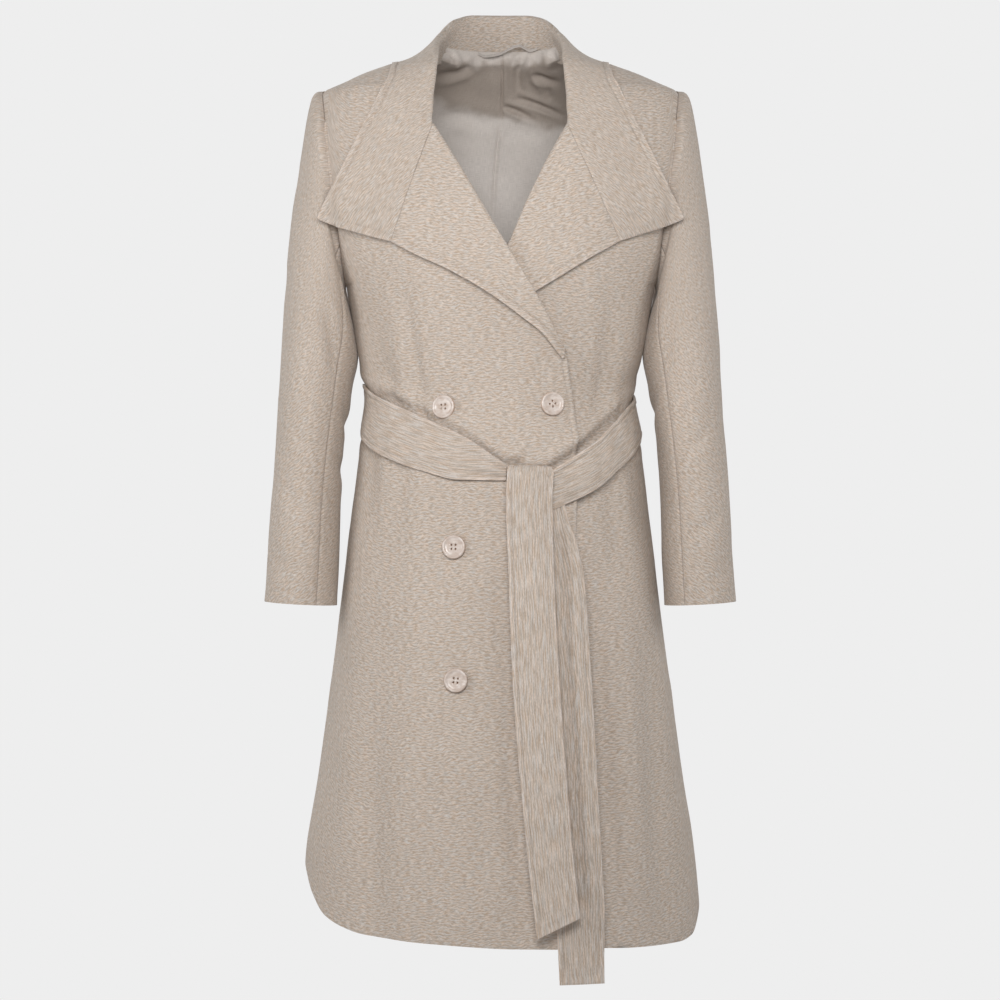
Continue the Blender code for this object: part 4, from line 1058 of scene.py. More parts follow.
def shoulder_rise(x, z):
    """The shoulder's padding, beside the collar's edge."""
    across = ease(*PAD_START, np.abs(x)) * (1 - ease(*PAD_END, np.abs(x)))
    return PAD_HEIGHT * across * (1 - ease(0.0, PAD_FADE, ridge_height(x) - z))


def blunt_tip(points):
    """Takes the sharp corner off a panel at the shoulder tip."""
    x, z = points[..., 0], points[..., 2]
    near = hump(np.hypot(np.abs(x) - TIP_X, z - SHOULDER_TIP), 0.0, TIP_REACH)
    away = np.stack([np.sign(x) * TIP_BLUNT[0] * near, 0 * x, TIP_BLUNT[1] * near], axis=-1)
    return points - away


def cloth_lumps(u, v, seed):
    """Faint unevenness of a hanging panel."""
    return 0.00045 * ripple(u, v, 0.030, seed) + 0.0009 * ripple(u, v, 0.085, seed + 1)


def front_piece(side, word):
    levels = panel_levels()[:, None]
    tuck = LAPEL_TUCK * ease(*TUCK_FADE, levels)
    inner = read(INNER_COLUMNS, INNER_EDGE, word, levels) + tuck
    wide = half_width(levels)
    near = np.arcsin(np.clip((inner + EDGE_STEPS[None, :]) / wide, -1, 1))
    shares = np.concatenate([np.linspace(0, SEAM_START, FRONT_STEPS)[1:], SEAM_SHARES])[None, :]
    rest = near[:, -1:] + (math.pi / 2 - near[:, -1:]) * shares
    angle = np.concatenate([near, rest], axis=1)
    covered = 1 - ease(*UNDERLAP_FADE, np.degrees(angle))
    rise = UNDERLAP_RISE * covered if side > 0 else 0 * angle
    z = hem_drop(side * angle, levels + 0 * angle, rise)
    x = side * half_width(z) * np.sin(angle)
    points = on_front(side, x, z, 0.0)
    points[..., 1] -= SEAM_HALF
    across = run_along(points, 1)
    weave = panel_weave(points, side * (x[:, :1] * side + across))
    place = np.stack([x, z], axis=-1)
    turn = np.degrees(np.where(angle * side < 0, angle * side + 2 * math.pi, angle * side))
    high = FRONT_CREASE_STRENGTH * creases(place, FRONT_CREASES)
    high = high + blouse(turn, z) + cloth_lumps(x, z, 5 + side)
    edge = stitched_edge(across, FRONT_STITCH) * (1 - ease(BREAK - 0.02, BREAK, z))
    to_seam = across[:, -1:] - across
    high = high * ease(0.0, SEAM_CALM, to_seam) + edge + seam_dip(to_seam)
    points = points + facing(points, side) * high[..., None]
    points[..., 2] += shoulder_rise(x, z)
    points = blunt_tip(points)
    return points[:, ::side], weave[:, ::side]


def back_piece():
    levels = panel_levels()[:, None]
    half = np.concatenate([np.linspace(0, SEAM_START, BACK_STEPS // 2), SEAM_SHARES])
    angle = math.pi / 2 * np.concatenate([half[::-1], -half[1:]])[None, :]
    z = hem_drop(angle, levels + 0 * angle, 0 * angle)
    x = half_width(z) * np.sin(angle)
    points = on_back(x, z, 0.0)
    points[..., 1] += SEAM_HALF
    across = run_along(points, 1)
    middle = across[:, [across.shape[1] // 2]]
    weave = panel_weave(points, across - middle)
    high = BACK_CREASE_STRENGTH * creases(np.stack([x, z], axis=-1), BACK_CREASES) + cloth_lumps(x + 1, z, 11)
    turn = 180 - np.degrees(angle) + 0 * z
    high = high + blouse(turn, z)
    to_seam = np.minimum(across, across[:, -1:] - across)
    high = high * ease(0.0, SEAM_CALM, to_seam) + seam_dip(to_seam)
    points = points + facing(points) * high[..., None]
    points[..., 2] += shoulder_rise(x, z)
    points = blunt_tip(points)
    return points, weave


# Lapels

LAPEL_ROWS = 120
LAPEL_INSIDE = 4
LAPEL_ROLL_STEPS = 10
LAPEL_FALL = 76
LAPEL_INNER_LIFT = -0.0015
GORGE_RISE = 0.0044
GORGE_SHARE = 0.0012
LAPEL_BOW = 0.0020
LAPEL_STAND = 0.0055
LAPEL_ROLL_RISE = 0.0020
LAPEL_INSIDE_RUN = 0.008
LAPEL_TILT = 8.0
WEAVE_STEP = 0.0012

# Stitched edge of the collar and lapels, and of the belt: place of the line, puff and groove
COLLAR_EDGE = (COLLAR_STITCH, 0.0006, 0.0011)
BELT_EDGE = (BELT_STITCH, 0.0005, 0.0008)
GORGE_CALM = 0.004


def lapel_form(side, share, inside, roll_steps, fall_steps):
    """Rows of points from inside the coat round the roll line to the lapel's edge, and each row's length."""
    table = LAPEL_RIGHT if side < 0 else LAPEL_LEFT
    share = np.asarray(share)[:, None]
    roll = [read(LAPEL_TABLE, table, name, share) for name in ("roll_x", "roll_z")]
    edge = [read(LAPEL_TABLE, table, name, share) for name in ("edge_x", "edge_z")]
    length = np.hypot(edge[0] - roll[0], edge[1] - roll[1])
    lift = CLOTH + LAPEL_GAP + GORGE_RISE * ease(0.55, 1.0, share)
    start_lift = lift + LAPEL_ROLL_RISE * ease(0.0, 0.4, share)
    radius = np.minimum((start_lift - LAPEL_INNER_LIFT) / 2, length * 0.3)
    turn = np.linspace(-0.5, 0.5, roll_steps + 1)[None, :] * math.pi
    middle = (start_lift + LAPEL_INNER_LIFT) / 2
    round_run = radius * (1 - np.cos(turn))
    round_lift = middle + (start_lift - LAPEL_INNER_LIFT) / 2 * np.sin(turn)
    inside_run = np.minimum(LAPEL_INSIDE_RUN, length * 0.4) * np.linspace(1, 0, inside + 1)[None, :-1]
    inside_run = radius + inside_run
    inside_lift = LAPEL_INNER_LIFT + 0 * inside_run
    fall = np.linspace(0, 1, fall_steps + 1)[None, 1:]
    fall_run = radius + (length - radius) * fall
    bow = LAPEL_BOW * np.sin(np.pi * fall) * ease(0.02, 0.08, length)
    stand = LAPEL_STAND * fall**2 * (1 - ease(0.6, 1.0, share))
    fall_lift = lift + (start_lift - lift) * np.exp(-fall * 5) + bow + stand
    run = np.concatenate([inside_run, round_run, fall_run], axis=1)
    height = np.concatenate([inside_lift, round_lift, fall_lift], axis=1)
    x = roll[0] + (edge[0] - roll[0]) * run / length
    z = roll[1] + (edge[1] - roll[1]) * run / length
    return on_front(side, x, z, height), length


def lapel_piece(side):
    share = np.linspace(0, 1 - GORGE_SHARE, LAPEL_ROWS + 1)
    points, length = lapel_form(side, share, LAPEL_INSIDE, LAPEL_ROLL_STEPS, LAPEL_FALL)
    x, z = points[..., 0], points[..., 2]
    weave = np.stack([x, z], axis=-1)
    rolled = LAPEL_INSIDE + LAPEL_ROLL_STEPS
    weave[:, :rolled, 0] -= side * (rolled - np.arange(rolled))[None, :] * WEAVE_STEP
    shown = np.zeros_like(x)
    shown[:, rolled:] = 1.0
    to_edge = away_from(points, points[:, -1])
    to_gorge = away_from(points, points[-1, rolled:])
    high = 0.0005 * ripple(x, z, 0.022, 31 + side) + 0.0007 * ripple(x, z, 0.060, 33 + side)
    high = high * ease(0.0, 0.02, length) + stitched_edge(to_edge, *COLLAR_EDGE) * ease(0.006, 0.016, length)
    high = high * ease(0.0, GORGE_CALM, to_gorge) + seam_dip(to_gorge, 0.0006, 0.0014)
    outward = facing(points, side)
    points = points + outward * (high * shown)[..., None]
    line = stitch_line(points, outward, to_edge, COLLAR_STITCH, rolled)
    size = spread(weave[:, rolled:])
    weave = turned(weave, LAPEL_TILT * side)
    return points[:, ::side], weave[:, ::side], size, line, to_edge[:, ::side]


def stitch_line(points, outward, to_edge, distance, first):
    """Where each row of a grid crosses the stitch line, counting from its edge end."""
    line, out = [], []
    for row, normals, away in zip(points, outward, to_edge):
        shown = away[first:][::-1]
        if shown.max() < distance * 1.3:
            continue
        place = np.argmax(shown >= distance)
        share = (distance - shown[place - 1]) / (shown[place] - shown[place - 1])
        index = len(row) - 1 - place
        line.append(row[index + 1] * (1 - share) + row[index] * share)
        out.append(normals[index])
    return np.array(line), np.array(out)


# Collar

COLLAR_STEPS = 13
STAND_ROWS = 14
FOLD_ROWS = 12
FALL_ROWS = 74
FOLD_RADIUS = 0.0058
FRONT_FOLD = (4.5, 7.0)
FOLD_LEAVE = (math.radians(12), math.radians(95))
STAND_IN_FRONT = 0.009
NECK_FACING = 0.0180
NECK_FACING_PLACE = (4.0, 1.5)
STRAIGHT_EDGE = (5.7, 6.3)
TO_LAPEL = (7.2, 10.0)
COLLAR_TILT = 0.51
COLLAR_END_RIBS = 16
COLLAR_SOFTEN = 10
ON_SHOULDER = ((2.1, 2.9), (5.1, 5.9))
FRONT_RIBS = 4
SHOULDER_CALM = (0.70, 0.035)


def gorge_point(side, end, axis):
    table = LAPEL_RIGHT if side < 0 else LAPEL_LEFT
    name = ("roll_" if end == "fold" else "edge_") + axis
    value = column(LAPEL_TABLE, table, name)[-1]
    return side * value if axis == "x" else value


def collar_ribs(side):
    """Base, fold and edge points of fine ribs on one side, from the centre back to the gorge."""
    count = len(COLLAR_RIBS)
    places = np.arange(count)
    fine = np.linspace(0, count - 1, COLLAR_STEPS * (count - 1) + 1)
    found = {"place": fine}
    for end in ("base", "fold", "edge"):
        axes = []
        for axis in "xyz":
            values = column(COLLAR_TABLE, COLLAR_RIBS, end + "_" + axis)
            if end != "base" and axis != "y":
                values[-1] = gorge_point(side, end, axis)
            curve = smooth(places, values, fine)
            if end == "edge":
                share = ease(*STRAIGHT_EDGE, fine)
                curve = curve * (1 - share) + np.interp(fine, places, values) * share
                for _ in range(3):
                    curve[1:-1] = curve[1:-1] * 0.5 + (curve[:-2] + curve[2:]) * 0.25
            axes.append(curve)
        found[end] = np.stack(axes, axis=-1)
    behind = fine <= COLLAR_LAST_BACK_RIB
    found["base"][behind] = on_back(found["base"][behind, 0], np.full(behind.sum(), NECK_TOP), 0.0)
    found["base"][behind] += np.array((0, -CLOTH / 2, COLLAR_SEAT))
    facing_run = NECK_FACING * hump(fine, *NECK_FACING_PLACE)
    found["base"][:, 2] -= facing_run
    found["base"][:, 0] += 0.25 * facing_run
    for end in ("base", "fold", "edge"):
        found[end][:, 0] *= side
    found["sag"] = smooth(places, column(COLLAR_TABLE, COLLAR_RIBS, "sag"), fine)
    return found


def unit(vectors):
    return vectors / np.linalg.norm(vectors, axis=-1, keepdims=True)


def collar_half(side):
    """Rows of points from the neck seam over the fold to the outer edge, one row for each rib."""
    ribs = collar_ribs(side)
    place = ribs["place"]
    fold, edge, base = ribs["fold"], ribs["edge"], ribs["base"]
    in_front = ease(*FRONT_FOLD, place)[:, None]
    flat = (edge - base) * np.array((1, 1, 0))
    flat[0] = (0, 1, 0)
    out = unit(unit(flat) * (1 - in_front) + np.array((side * 0.25, -1.0, 0.0)) * in_front)
    way = unit(np.gradient(fold, axis=0))
    top = unit(side * np.cross(way, out))
    radius = FOLD_RADIUS
    centre = fold + out * radius * (1 - 2 * in_front) - top * radius
    reach = edge - centre
    reach_out = np.sum(reach * out, axis=1)
    reach_top = np.sum(reach * top, axis=1)
    toward = np.arctan2(reach_out, reach_top)
    toward = np.where(toward < -math.pi / 2, toward + 2 * math.pi, toward)
    leave = toward - np.arccos(np.clip(radius / np.hypot(reach_out, reach_top), 0, 1))
    leave = np.clip(leave, *FOLD_LEAVE)
    start = centre - out * radius
    foot = base * (1 - in_front) + (start - top * STAND_IN_FRONT) * in_front
    lines = []
    for share in np.linspace(0, 1, STAND_ROWS + 1)[:-1]:
        lines.append(foot + (start - foot) * share)
    for share in np.linspace(0, 1, FOLD_ROWS + 1):
        angle = (-math.pi / 2 + (leave + math.pi / 2) * share)[:, None]
        lines.append(centre + radius * (top * np.cos(angle) + out * np.sin(angle)))
    crest = lines[-1]
    for share in np.linspace(0, 1, FALL_ROWS + 1)[1:]:
        drop = np.zeros_like(crest)
        drop[:, 2] = 4 * ribs["sag"] * share * (1 - share)
        lines.append(crest + (edge - crest) * share - drop)
    points = np.stack(lines, axis=1)
    first_fall = STAND_ROWS + FOLD_ROWS + 1
    points[:, first_fall:] = clear_of_body(side, points[:, first_fall:], place[:, None])
    gorge = lapel_form(side, [1.0], STAND_ROWS, FOLD_ROWS, FALL_ROWS)[0][0]
    return points + (gorge - points[-1]) * ease(*TO_LAPEL, place)[:, None, None]


def shoulder_height(x, y):
    """Height of the shoulder cloth at x and y."""
    ridge = ridge_height(x)
    steps = np.linspace(0, SHOULDER_SEARCH, SHOULDER_SAMPLES)
    found = np.empty_like(x)
    for index in np.ndindex(x.shape):
        depth = front_depth if y[index] < 0 else back_depth
        levels = ridge[index] - steps
        found[index] = np.interp(abs(y[index]), depth(np.full(SHOULDER_SAMPLES, x[index]), levels), levels)
    return found


def clear_of_body(side, points, place):
    """Moves the collar's fall out until it lies over the body."""
    x, y, z = (points[..., k].copy() for k in range(3))
    on_shoulder = ease(*ON_SHOULDER[0], place) * (1 - ease(*ON_SHOULDER[1], place)) + 0 * x
    low = np.minimum(z, NECK_TOP)
    inside = 1 - ease(-0.001, 0.0015, np.abs(x) - half_width(low) - LAYER_GAP)
    lift = CLOTH + COLLAR_GAP
    standoff = TIP_STANDOFF * ease(*TIP_FADE_X, np.abs(x))
    front = np.minimum(y, on_front(side, x, low, lift)[..., 1] - standoff)
    back = np.maximum(y, on_back(x, low, lift)[..., 1])
    out = np.where(place > FRONT_RIBS, front, back)
    points[..., 1] = y + (out - y) * inside * (1 - on_shoulder)
    rows = np.nonzero(on_shoulder[:, 0] > 0)[0]
    raised = np.maximum(z[rows], shoulder_height(x[rows], y[rows]) + SHOULDER_LIFT)
    points[rows, :, 2] = z[rows] + (raised - z[rows]) * on_shoulder[rows]
    return points


def collar_piece():
    right = collar_half(-1)
    left = collar_half(1)
    points = np.swapaxes(np.concatenate([right[::-1], left[1:]]), 0, 1)
    ribs = np.arange(points.shape[1])
    inward = ease(0, COLLAR_END_RIBS, np.minimum(ribs, ribs[::-1]))[None, :, None]
    points = points + (soften(points, COLLAR_SOFTEN) - points) * inward
    first_fall = STAND_ROWS + FOLD_ROWS
    outward = facing(points)
    to_edge = away_from(points, points[-1])
    gorge = np.minimum(*(away_from(points, points[first_fall:, end]) for end in (0, -1)))
    x, y, z = (points[..., k] for k in range(3))
    rows = run_along(points, 0)
    columns = run_along(points, 1)
    columns = columns - columns[:, [columns.shape[1] // 2]]
    fall = np.zeros_like(x)
    fall[first_fall:] = 1.0
    high = 0.0005 * ripple(columns, rows, 0.024, 41) + 0.0009 * ripple(columns, rows, 0.070, 42)
    level = 1 - SHOULDER_CALM[0] * hump(y, 0.0, SHOULDER_CALM[1])
    high = high * level + fall * level * stitched_edge(to_edge, *COLLAR_EDGE)
    gorge_seam = 0.0005 * hump(gorge, 0.0026, 0.0018) + seam_dip(gorge, 0.0006, 0.0012)
    high = high * ease(0.0, GORGE_CALM, gorge) + fall * gorge_seam
    points = points + outward * high[..., None]
    across, out = np.swapaxes(points, 0, 1), np.swapaxes(outward, 0, 1)
    line = stitch_line(across, out, to_edge.T, COLLAR_STITCH, first_fall)
    wrapped = np.stack([columns, rows], axis=-1)
    over = y - (z - 0.03) * (2 * ease(-0.07, 0.07, y) - 1)
    tilt = COLLAR_TILT * np.abs(x) * (1 - ease(-0.09, 0.09, y))
    outer = np.arange(len(points))[:, None, None] > STAND_ROWS + 3
    weave = np.where(outer, np.stack([x, over + tilt], axis=-1), wrapped)
    return points, weave, spread(wrapped), line, to_edge


# Sleeves

SLEEVE_ROWS = 170
TOP_SLEEVE_STEPS = 68
UNDER_SLEEVE_STEPS = 44
FRONT_SEAM_SHIFT = 9.0
SHIFT_FADE = (-0.58, -0.36)
SEAM_STEPS = np.array((0.0, 0.9, 2.2, 4.0))
SEAM_STRIP = 6.0
SLEEVE_CUT = 0.60
SLEEVE_TILT = 24.0
HEAD_PUFF = 0.0022
HEAD_PLACE = (0.0062, 0.0062)
HEAD_CALM = 0.012
HEAD_TUCK = ((0.0014, 0.0008), (0.0040, 0.0028))


def sleeve_piece(side, first, last, steps, rows):
    """One sleeve part between two seams, from the cuff up. 0 is the outer line and 90 the front."""
    count = len(SLEEVE)
    fine = np.linspace(count - 1, 0, SLEEVE_ROWS + 1)
    section = {}
    for name in SLEEVE_TABLE:
        section[name] = smooth(np.arange(count), column(SLEEVE_TABLE, SLEEVE, name), fine)[:, None]
    height = section["outer_z"] * 0.5 + section["inner_z"] * 0.5
    inward = FRONT_SEAM_SHIFT * ease(*SHIFT_FADE, height)
    first = first + SLEEVE_SEAM_HALF + (inward if first > 0 else 0 * inward)
    last = last - SLEEVE_SEAM_HALF + (inward if last < 200 else 0 * inward)
    share = np.linspace(0, 1, steps)[None, :]
    edge = SEAM_STEPS[None, :]
    between = first + SEAM_STRIP + (last - first - 2 * SEAM_STRIP) * share
    angles = np.concatenate([first + edge, between, last - edge[:, ::-1]], axis=1)
    turn = np.radians(angles)
    middle_x = (section["outer_x"] + section["inner_x"]) / 2
    middle_z = (section["outer_z"] + section["inner_z"]) / 2
    x = side * (middle_x + (section["outer_x"] - section["inner_x"]) / 2 * np.cos(turn) + ARMHOLE_GAP)
    y = section["middle_y"] - section["half_depth"] * np.sin(turn)
    z = middle_z + (section["outer_z"] - section["inner_z"]) / 2 * np.cos(turn)
    points = np.stack(np.broadcast_arrays(x, y, z), axis=-1)
    across = run_along(points, 1)
    along = run_along(points, 0)
    weave = np.stack([across - across[:, -1:] / 2, along - SLEEVE_CUT], axis=-1)
    to_seam = np.minimum(across, across[:, -1:] - across)
    to_top = along[-1:] - along
    place = np.stack([angles / 1000, z], axis=-1)
    high = creases(place, rows) + cloth_lumps(across, along + side, 51 + side)
    high = high * ease(0.0, SEAM_CALM, to_seam) * ease(0.0, HEAD_CALM, to_top)
    head = HEAD_PUFF * hump(to_top, *HEAD_PLACE) * ease(-0.2, 0.6, np.cos(turn))
    high = high + head + seam_dip(to_seam, 0.0011, 0.0020) + seam_dip(to_top, 0.0003, 0.0020)
    points = points + facing(points, -side) * high[..., None]
    size = spread(weave)
    middle = np.array((side * middle_x[-1, 0], section["middle_y"][-1, 0], middle_z[-1, 0]))
    head = points[-1]
    tucks = [head + unit(middle - head) * deep - np.array((side * back, 0, 0)) for deep, back in HEAD_TUCK]
    points = np.concatenate([points, np.array(tucks)])
    weave = turned(np.concatenate([weave, np.repeat(weave[-1:], len(tucks), axis=0)]), SLEEVE_TILT)
    return points[:, ::-side], weave[:, ::-side], size


# Belt

BELT_COLUMNS = 420
BELT_HALF = np.array((0, 0.022, 0.055, 0.085, 0.100, 0.115, 0.132, 0.170, 0.23, 0.30, 0.37, 0.44, 0.50))
BELT_SHARES = np.concatenate([BELT_HALF, 1 - BELT_HALF[-2::-1]])
BELT_STITCH_ROW = 4
BELT_SHOWN = slice(6, BELT_COLUMNS - 40)
BELT_CROWN = 0.0010
BELT_LOWER_TUCK = 0.0014

# Gathers of the belt near the knot: where they fade out, in degrees, their height and count
RIGHT_FADE = (17.3, 40.0)
RIGHT_GATHERS = (0.0010, 1.6)
LEFT_FADE = (318.0, 354.0)
LEFT_GATHERS = (0.0040, 2.3)
TAIL_ROWS = 164
TAIL_SHOWN = slice(5, TAIL_ROWS - 2)
TAIL_TURN_ROWS = 14
TAIL_STAND = 0.0060
TAIL_STAND_FADE = (0.36, 0.46)
TAIL_WAVE = 0.0016
TAIL_FOLD = 0.0105
TAIL_FOLD_SIDE = (0.74, 0.20)
TAIL_FOLD_MOVE = (0.36, 0.52)
TAIL_FOLD_ENDS = ((0.02, 0.13), (0.495, 0.527))


def belt_point(angle, z, lift):
    """A point out from the body's ring at an angle from the centre front."""
    across = np.sin(angle)
    width = half_width(z)
    x = (width + lift) * across
    shape = section_shape(width * across, z)
    is_front = np.cos(angle) > 0
    front = -(front_depth(width * across, z) + lift * shape)
    back = back_depth(width * across, z) + lift * shape
    return np.stack([x, np.where(is_front, front, back), z], axis=-1)


def belt_round_piece():
    angles = column(BELT_TABLE, BELT, "angle")
    fine = np.linspace(angles[0], angles[-1], BELT_COLUMNS + 1)[None, :]
    share = BELT_SHARES[:, None]
    bottom = read(BELT_TABLE, BELT, "bottom_z", fine)
    top = read(BELT_TABLE, BELT, "top_z", fine)
    lift = read(BELT_TABLE, BELT, "lift", fine) + BELT_CLOTH
    points = belt_point(np.radians(fine + 0 * share), bottom + (top - bottom) * share, lift + 0 * share)
    across = run_along(points, 0)
    along = run_along(points, 1)
    weave = np.stack([along, across], axis=-1)
    to_edge = np.minimum(across, across[-1:] - across)
    flat = ease(0.030, 0.045, across[-1:])
    high = stitched_edge(to_edge, *BELT_EDGE) * flat
    near_right = 1 - ease(*RIGHT_FADE, fine)
    near_left = ease(*LEFT_FADE, fine)
    height, count = LEFT_GATHERS
    gathers = height * (np.abs(np.cos(math.pi * (share * count + 0.08))) - 0.6) * near_left
    height, count = RIGHT_GATHERS
    gathers = gathers + height * np.cos(2 * math.pi * (share * count + 0.35)) * near_right
    crown = BELT_CROWN * np.sin(np.pi * share) - BELT_LOWER_TUCK * (1 - ease(0.0, 0.16, share))
    high = high + gathers + crown + 0.0006 * ripple(along, across, 0.030, 61)
    points = points + facing(points) * high[..., None]
    return points, weave, to_edge


def tail_grid(rows, z, left_z, right_z):
    """Rows of points across a hanging belt end, its lower edge slanted from left_z to right_z."""
    upward = rows[::-1]
    lowest, top = upward[0][0], upward[-1][0]
    across = BELT_SHARES[None, :]
    level = z[:, None]
    left = read(TAIL_TABLE, upward, "left_x", level)
    right = read(TAIL_TABLE, upward, "right_x", level)
    lift = read(TAIL_TABLE, upward, "lift", level) + BELT_CLOTH
    share = (level - top) / (lowest - top)
    x = left + (right - left) * across
    end = left_z + (right_z - left_z) * across
    return on_front(1, x, top + (end - top) * share, lift + 0 * x)


def front_tail_piece():
    levels = np.linspace(FRONT_TAIL[-1][0], FRONT_TAIL[0][0], TAIL_ROWS + 1)
    hanging = tail_grid(FRONT_TAIL, levels, FRONT_TAIL_LEFT_END, FRONT_TAIL_RIGHT_END)
    back_x = FRONT_TAIL_BACK_X[0] + (FRONT_TAIL_BACK_X[1] - FRONT_TAIL_BACK_X[0]) * BELT_SHARES
    behind = [on_front(1, back_x, np.full(len(back_x), level), lift) for level, lift in FRONT_TAIL_BACK]
    front, back = hanging[-1], behind[-1]
    middle = (front + back) / 2
    over = []
    for angle in np.linspace(0, math.pi, TAIL_TURN_ROWS + 2)[1:-1]:
        point = middle + (front - back) / 2 * math.cos(angle)
        point[:, 2] = middle[:, 2] + (FRONT_TAIL_TOP - middle[:, 2]) * math.sin(angle)
        over.append(point)
    points = np.concatenate([hanging, np.array(over), np.array(behind[::-1])])
    along = run_along(points, 0)
    width = run_along(points, 1)
    weave = np.stack([along, width], axis=-1)
    to_edge = np.minimum(np.minimum(width, width[:, -1:] - width), along)
    high = stitched_edge(to_edge, *BELT_EDGE)
    share = BELT_SHARES[None, :]
    wave = TAIL_WAVE * np.sin(along * 9.0 + 0.6) * (share - 0.4) + BELT_CROWN * np.sin(np.pi * share)
    stand = TAIL_STAND * (1 - ease(*TAIL_STAND_FADE, along)) * (0.7 + 0.3 * np.cos(along * 7.0))
    high = high + wave + stand + 0.0006 * ripple(along, width, 0.034, 71)
    points = points + facing(points) * high[..., None]
    return points, weave, to_edge


def under_tail_piece():
    lowest = UNDER_TAIL[-1][0]
    levels = np.linspace(lowest, UNDER_TAIL[0][0], TAIL_ROWS + 1)
    points = tail_grid(UNDER_TAIL, levels, lowest, lowest)
    along = run_along(points, 0)
    width = run_along(points, 1)
    weave = np.stack([along, width], axis=-1)
    share = BELT_SHARES[None, :]
    to_edge = np.minimum(np.minimum(width, width[:, -1:] - width), along * 0.6)
    high = stitched_edge(to_edge, *BELT_EDGE)
    crest = TAIL_FOLD_SIDE[0] + TAIL_FOLD_SIDE[1] * ease(*TAIL_FOLD_MOVE, along)
    fold = TAIL_FOLD * ease(crest - 0.20, crest, share) * (1 - 0.20 * ease(crest, 1.1, share))
    fold = fold * ease(*TAIL_FOLD_ENDS[0], along) * (1 - ease(*TAIL_FOLD_ENDS[1], along))
    high = high + fold + 0.0005 * ripple(along, width, 0.034, 73)
    points = points + facing(points) * high[..., None]
    return points, weave, to_edge


# Lining and hanger loop

LINING_LOW_ROWS = 33
LINING_FINE_ROWS = 100
LINING_TOP_ROWS = 8
LINING_FINE = -0.09
LINING_COLUMNS = 140
LINING_DEEPEST = -0.0016
LINING_SAG = (0.0020, 0.0026)
LINING_SAG_FADE = (-0.070, -0.048)
LINING_UNEVEN = 0.0034
LINING_BORDER = (0.006, 0.05)


def lining_piece():
    levels = column(LINING_TABLE, LINING, "z")
    low = np.linspace(levels[0], LINING_FINE, LINING_LOW_ROWS + 1)[:-1]
    z = np.concatenate([low, np.linspace(LINING_FINE, levels[-1], LINING_FINE_ROWS)])[:, None]
    across = np.linspace(-1, 1, LINING_COLUMNS + 1)[None, :]
    x = read(LINING_TABLE, LINING, "half_width", z) * across
    points = inside_back(x, z + 0 * x, LINING_INSET)
    rise = np.linspace(0, 1, LINING_TOP_ROWS + 1)[1:, None]
    top = np.repeat(points[-1][None], len(rise), axis=0)
    top[..., 2] = points[-1][None, :, 2] + (LINING_TOP - points[-1][None, :, 2]) * rise
    points = np.concatenate([points, top])
    x, z = points[..., 0], points[..., 2]
    weave = np.stack([run_along(points, 1) - 0.1, run_along(points, 0)], axis=-1)
    uneven = LINING_UNEVEN * ripple(x, 0 * x, 0.021, 85) * hump(z, 0.005, 0.011)
    fade = ease(*LINING_SAG_FADE, z + 0.006 * ripple(x, 0 * x, 0.022, 83))
    sag = LINING_SAG[0] + LINING_SAG[1] * (1 - fade)
    high = creases(np.stack([x, z], axis=-1), LINING_CREASES) + sag + uneven
    high = np.maximum(high + 0.0006 * ripple(x, z, 0.018, 81), LINING_DEEPEST)
    border = ease(0.0, LINING_BORDER[0], LINING_TOP - z)
    border = border * ease(0.0, LINING_BORDER[1], 1 - np.abs(across) + 0 * z)
    points = points + facing(points) * (high * border)[..., None]
    return points, weave


def loop_piece():
    fine = np.linspace(LOOP[0][0], LOOP[-1][0], LOOP_COLUMNS)
    z = read(LOOP_TABLE, LOOP, "z", fine)
    bow = LOOP_BOW * np.sin(np.pi * np.linspace(0, 1, len(fine)))
    y = inside_back(fine, np.full(len(fine), NECK_TOP), LOOP_INSET)[:, 1] - bow
    rows = []
    for share in np.linspace(-0.5, 0.5, LOOP_ROWS):
        lean = LOOP_WIDTH * share
        rows.append(np.stack([fine, y + lean * math.sin(LOOP_LEAN), z + lean * math.cos(LOOP_LEAN)], axis=-1))
    points = np.array(rows)
    weave = np.stack([run_along(points, 1), run_along(points, 0)], axis=-1)
    return points, weave


# Buttons


def rod(bm, foot, top, length, place):
    ends = {"radius1": foot, "radius2": top, "depth": length}
    bmesh.ops.create_cone(bm, cap_ends=True, segments=16, matrix=place, **ends)


def button_mesh():
    """A four-hole button turned from its profile, face up at the origin."""
    bm = bmesh.new()
    line = [bm.verts.new((radius, 0, height)) for radius, height in BUTTON_PROFILE]
    edges = [bm.edges.new(pair) for pair in zip(line, line[1:])]
    around = {"cent": (0, 0, 0), "axis": (0, 0, 1), "angle": 2 * math.pi}
    bmesh.ops.spin(bm, geom=line + edges, steps=BUTTON_STEPS, use_merge=True, **around)
    bmesh.ops.remove_doubles(bm, verts=bm.verts, dist=1e-6)
    bmesh.ops.recalc_face_normals(bm, faces=bm.faces)
    blank = show("button_blank", bm, PEARL)
    drill = bmesh.new()
    for turn in range(HOLE_COUNT):
        angle = math.radians(45 + 90 * turn)
        place = Matrix.Translation((HOLE_OFFSET * math.cos(angle), HOLE_OFFSET * math.sin(angle), 0))
        rod(drill, HOLE_RADIUS, HOLE_RADIUS, DRILL_LENGTH, place)
    drill = show("button_drill", drill, PEARL)
    cut = blank.modifiers.new("holes", "BOOLEAN")
    cut.operation = "DIFFERENCE"
    cut.solver = "EXACT"
    cut.object = drill
    shaped = blank.evaluated_get(bpy.context.evaluated_depsgraph_get())
    mesh = bpy.data.meshes.new_from_object(shaped)
    face = mesh.uv_layers.new(name="face")
    for loop in mesh.loops:
        face.data[loop.index].uv = mesh.vertices[loop.vertex_index].co.xy / BUTTON_RADIUS
    for made in (blank, drill):
        bpy.data.objects.remove(made, do_unlink=True)
    return mesh


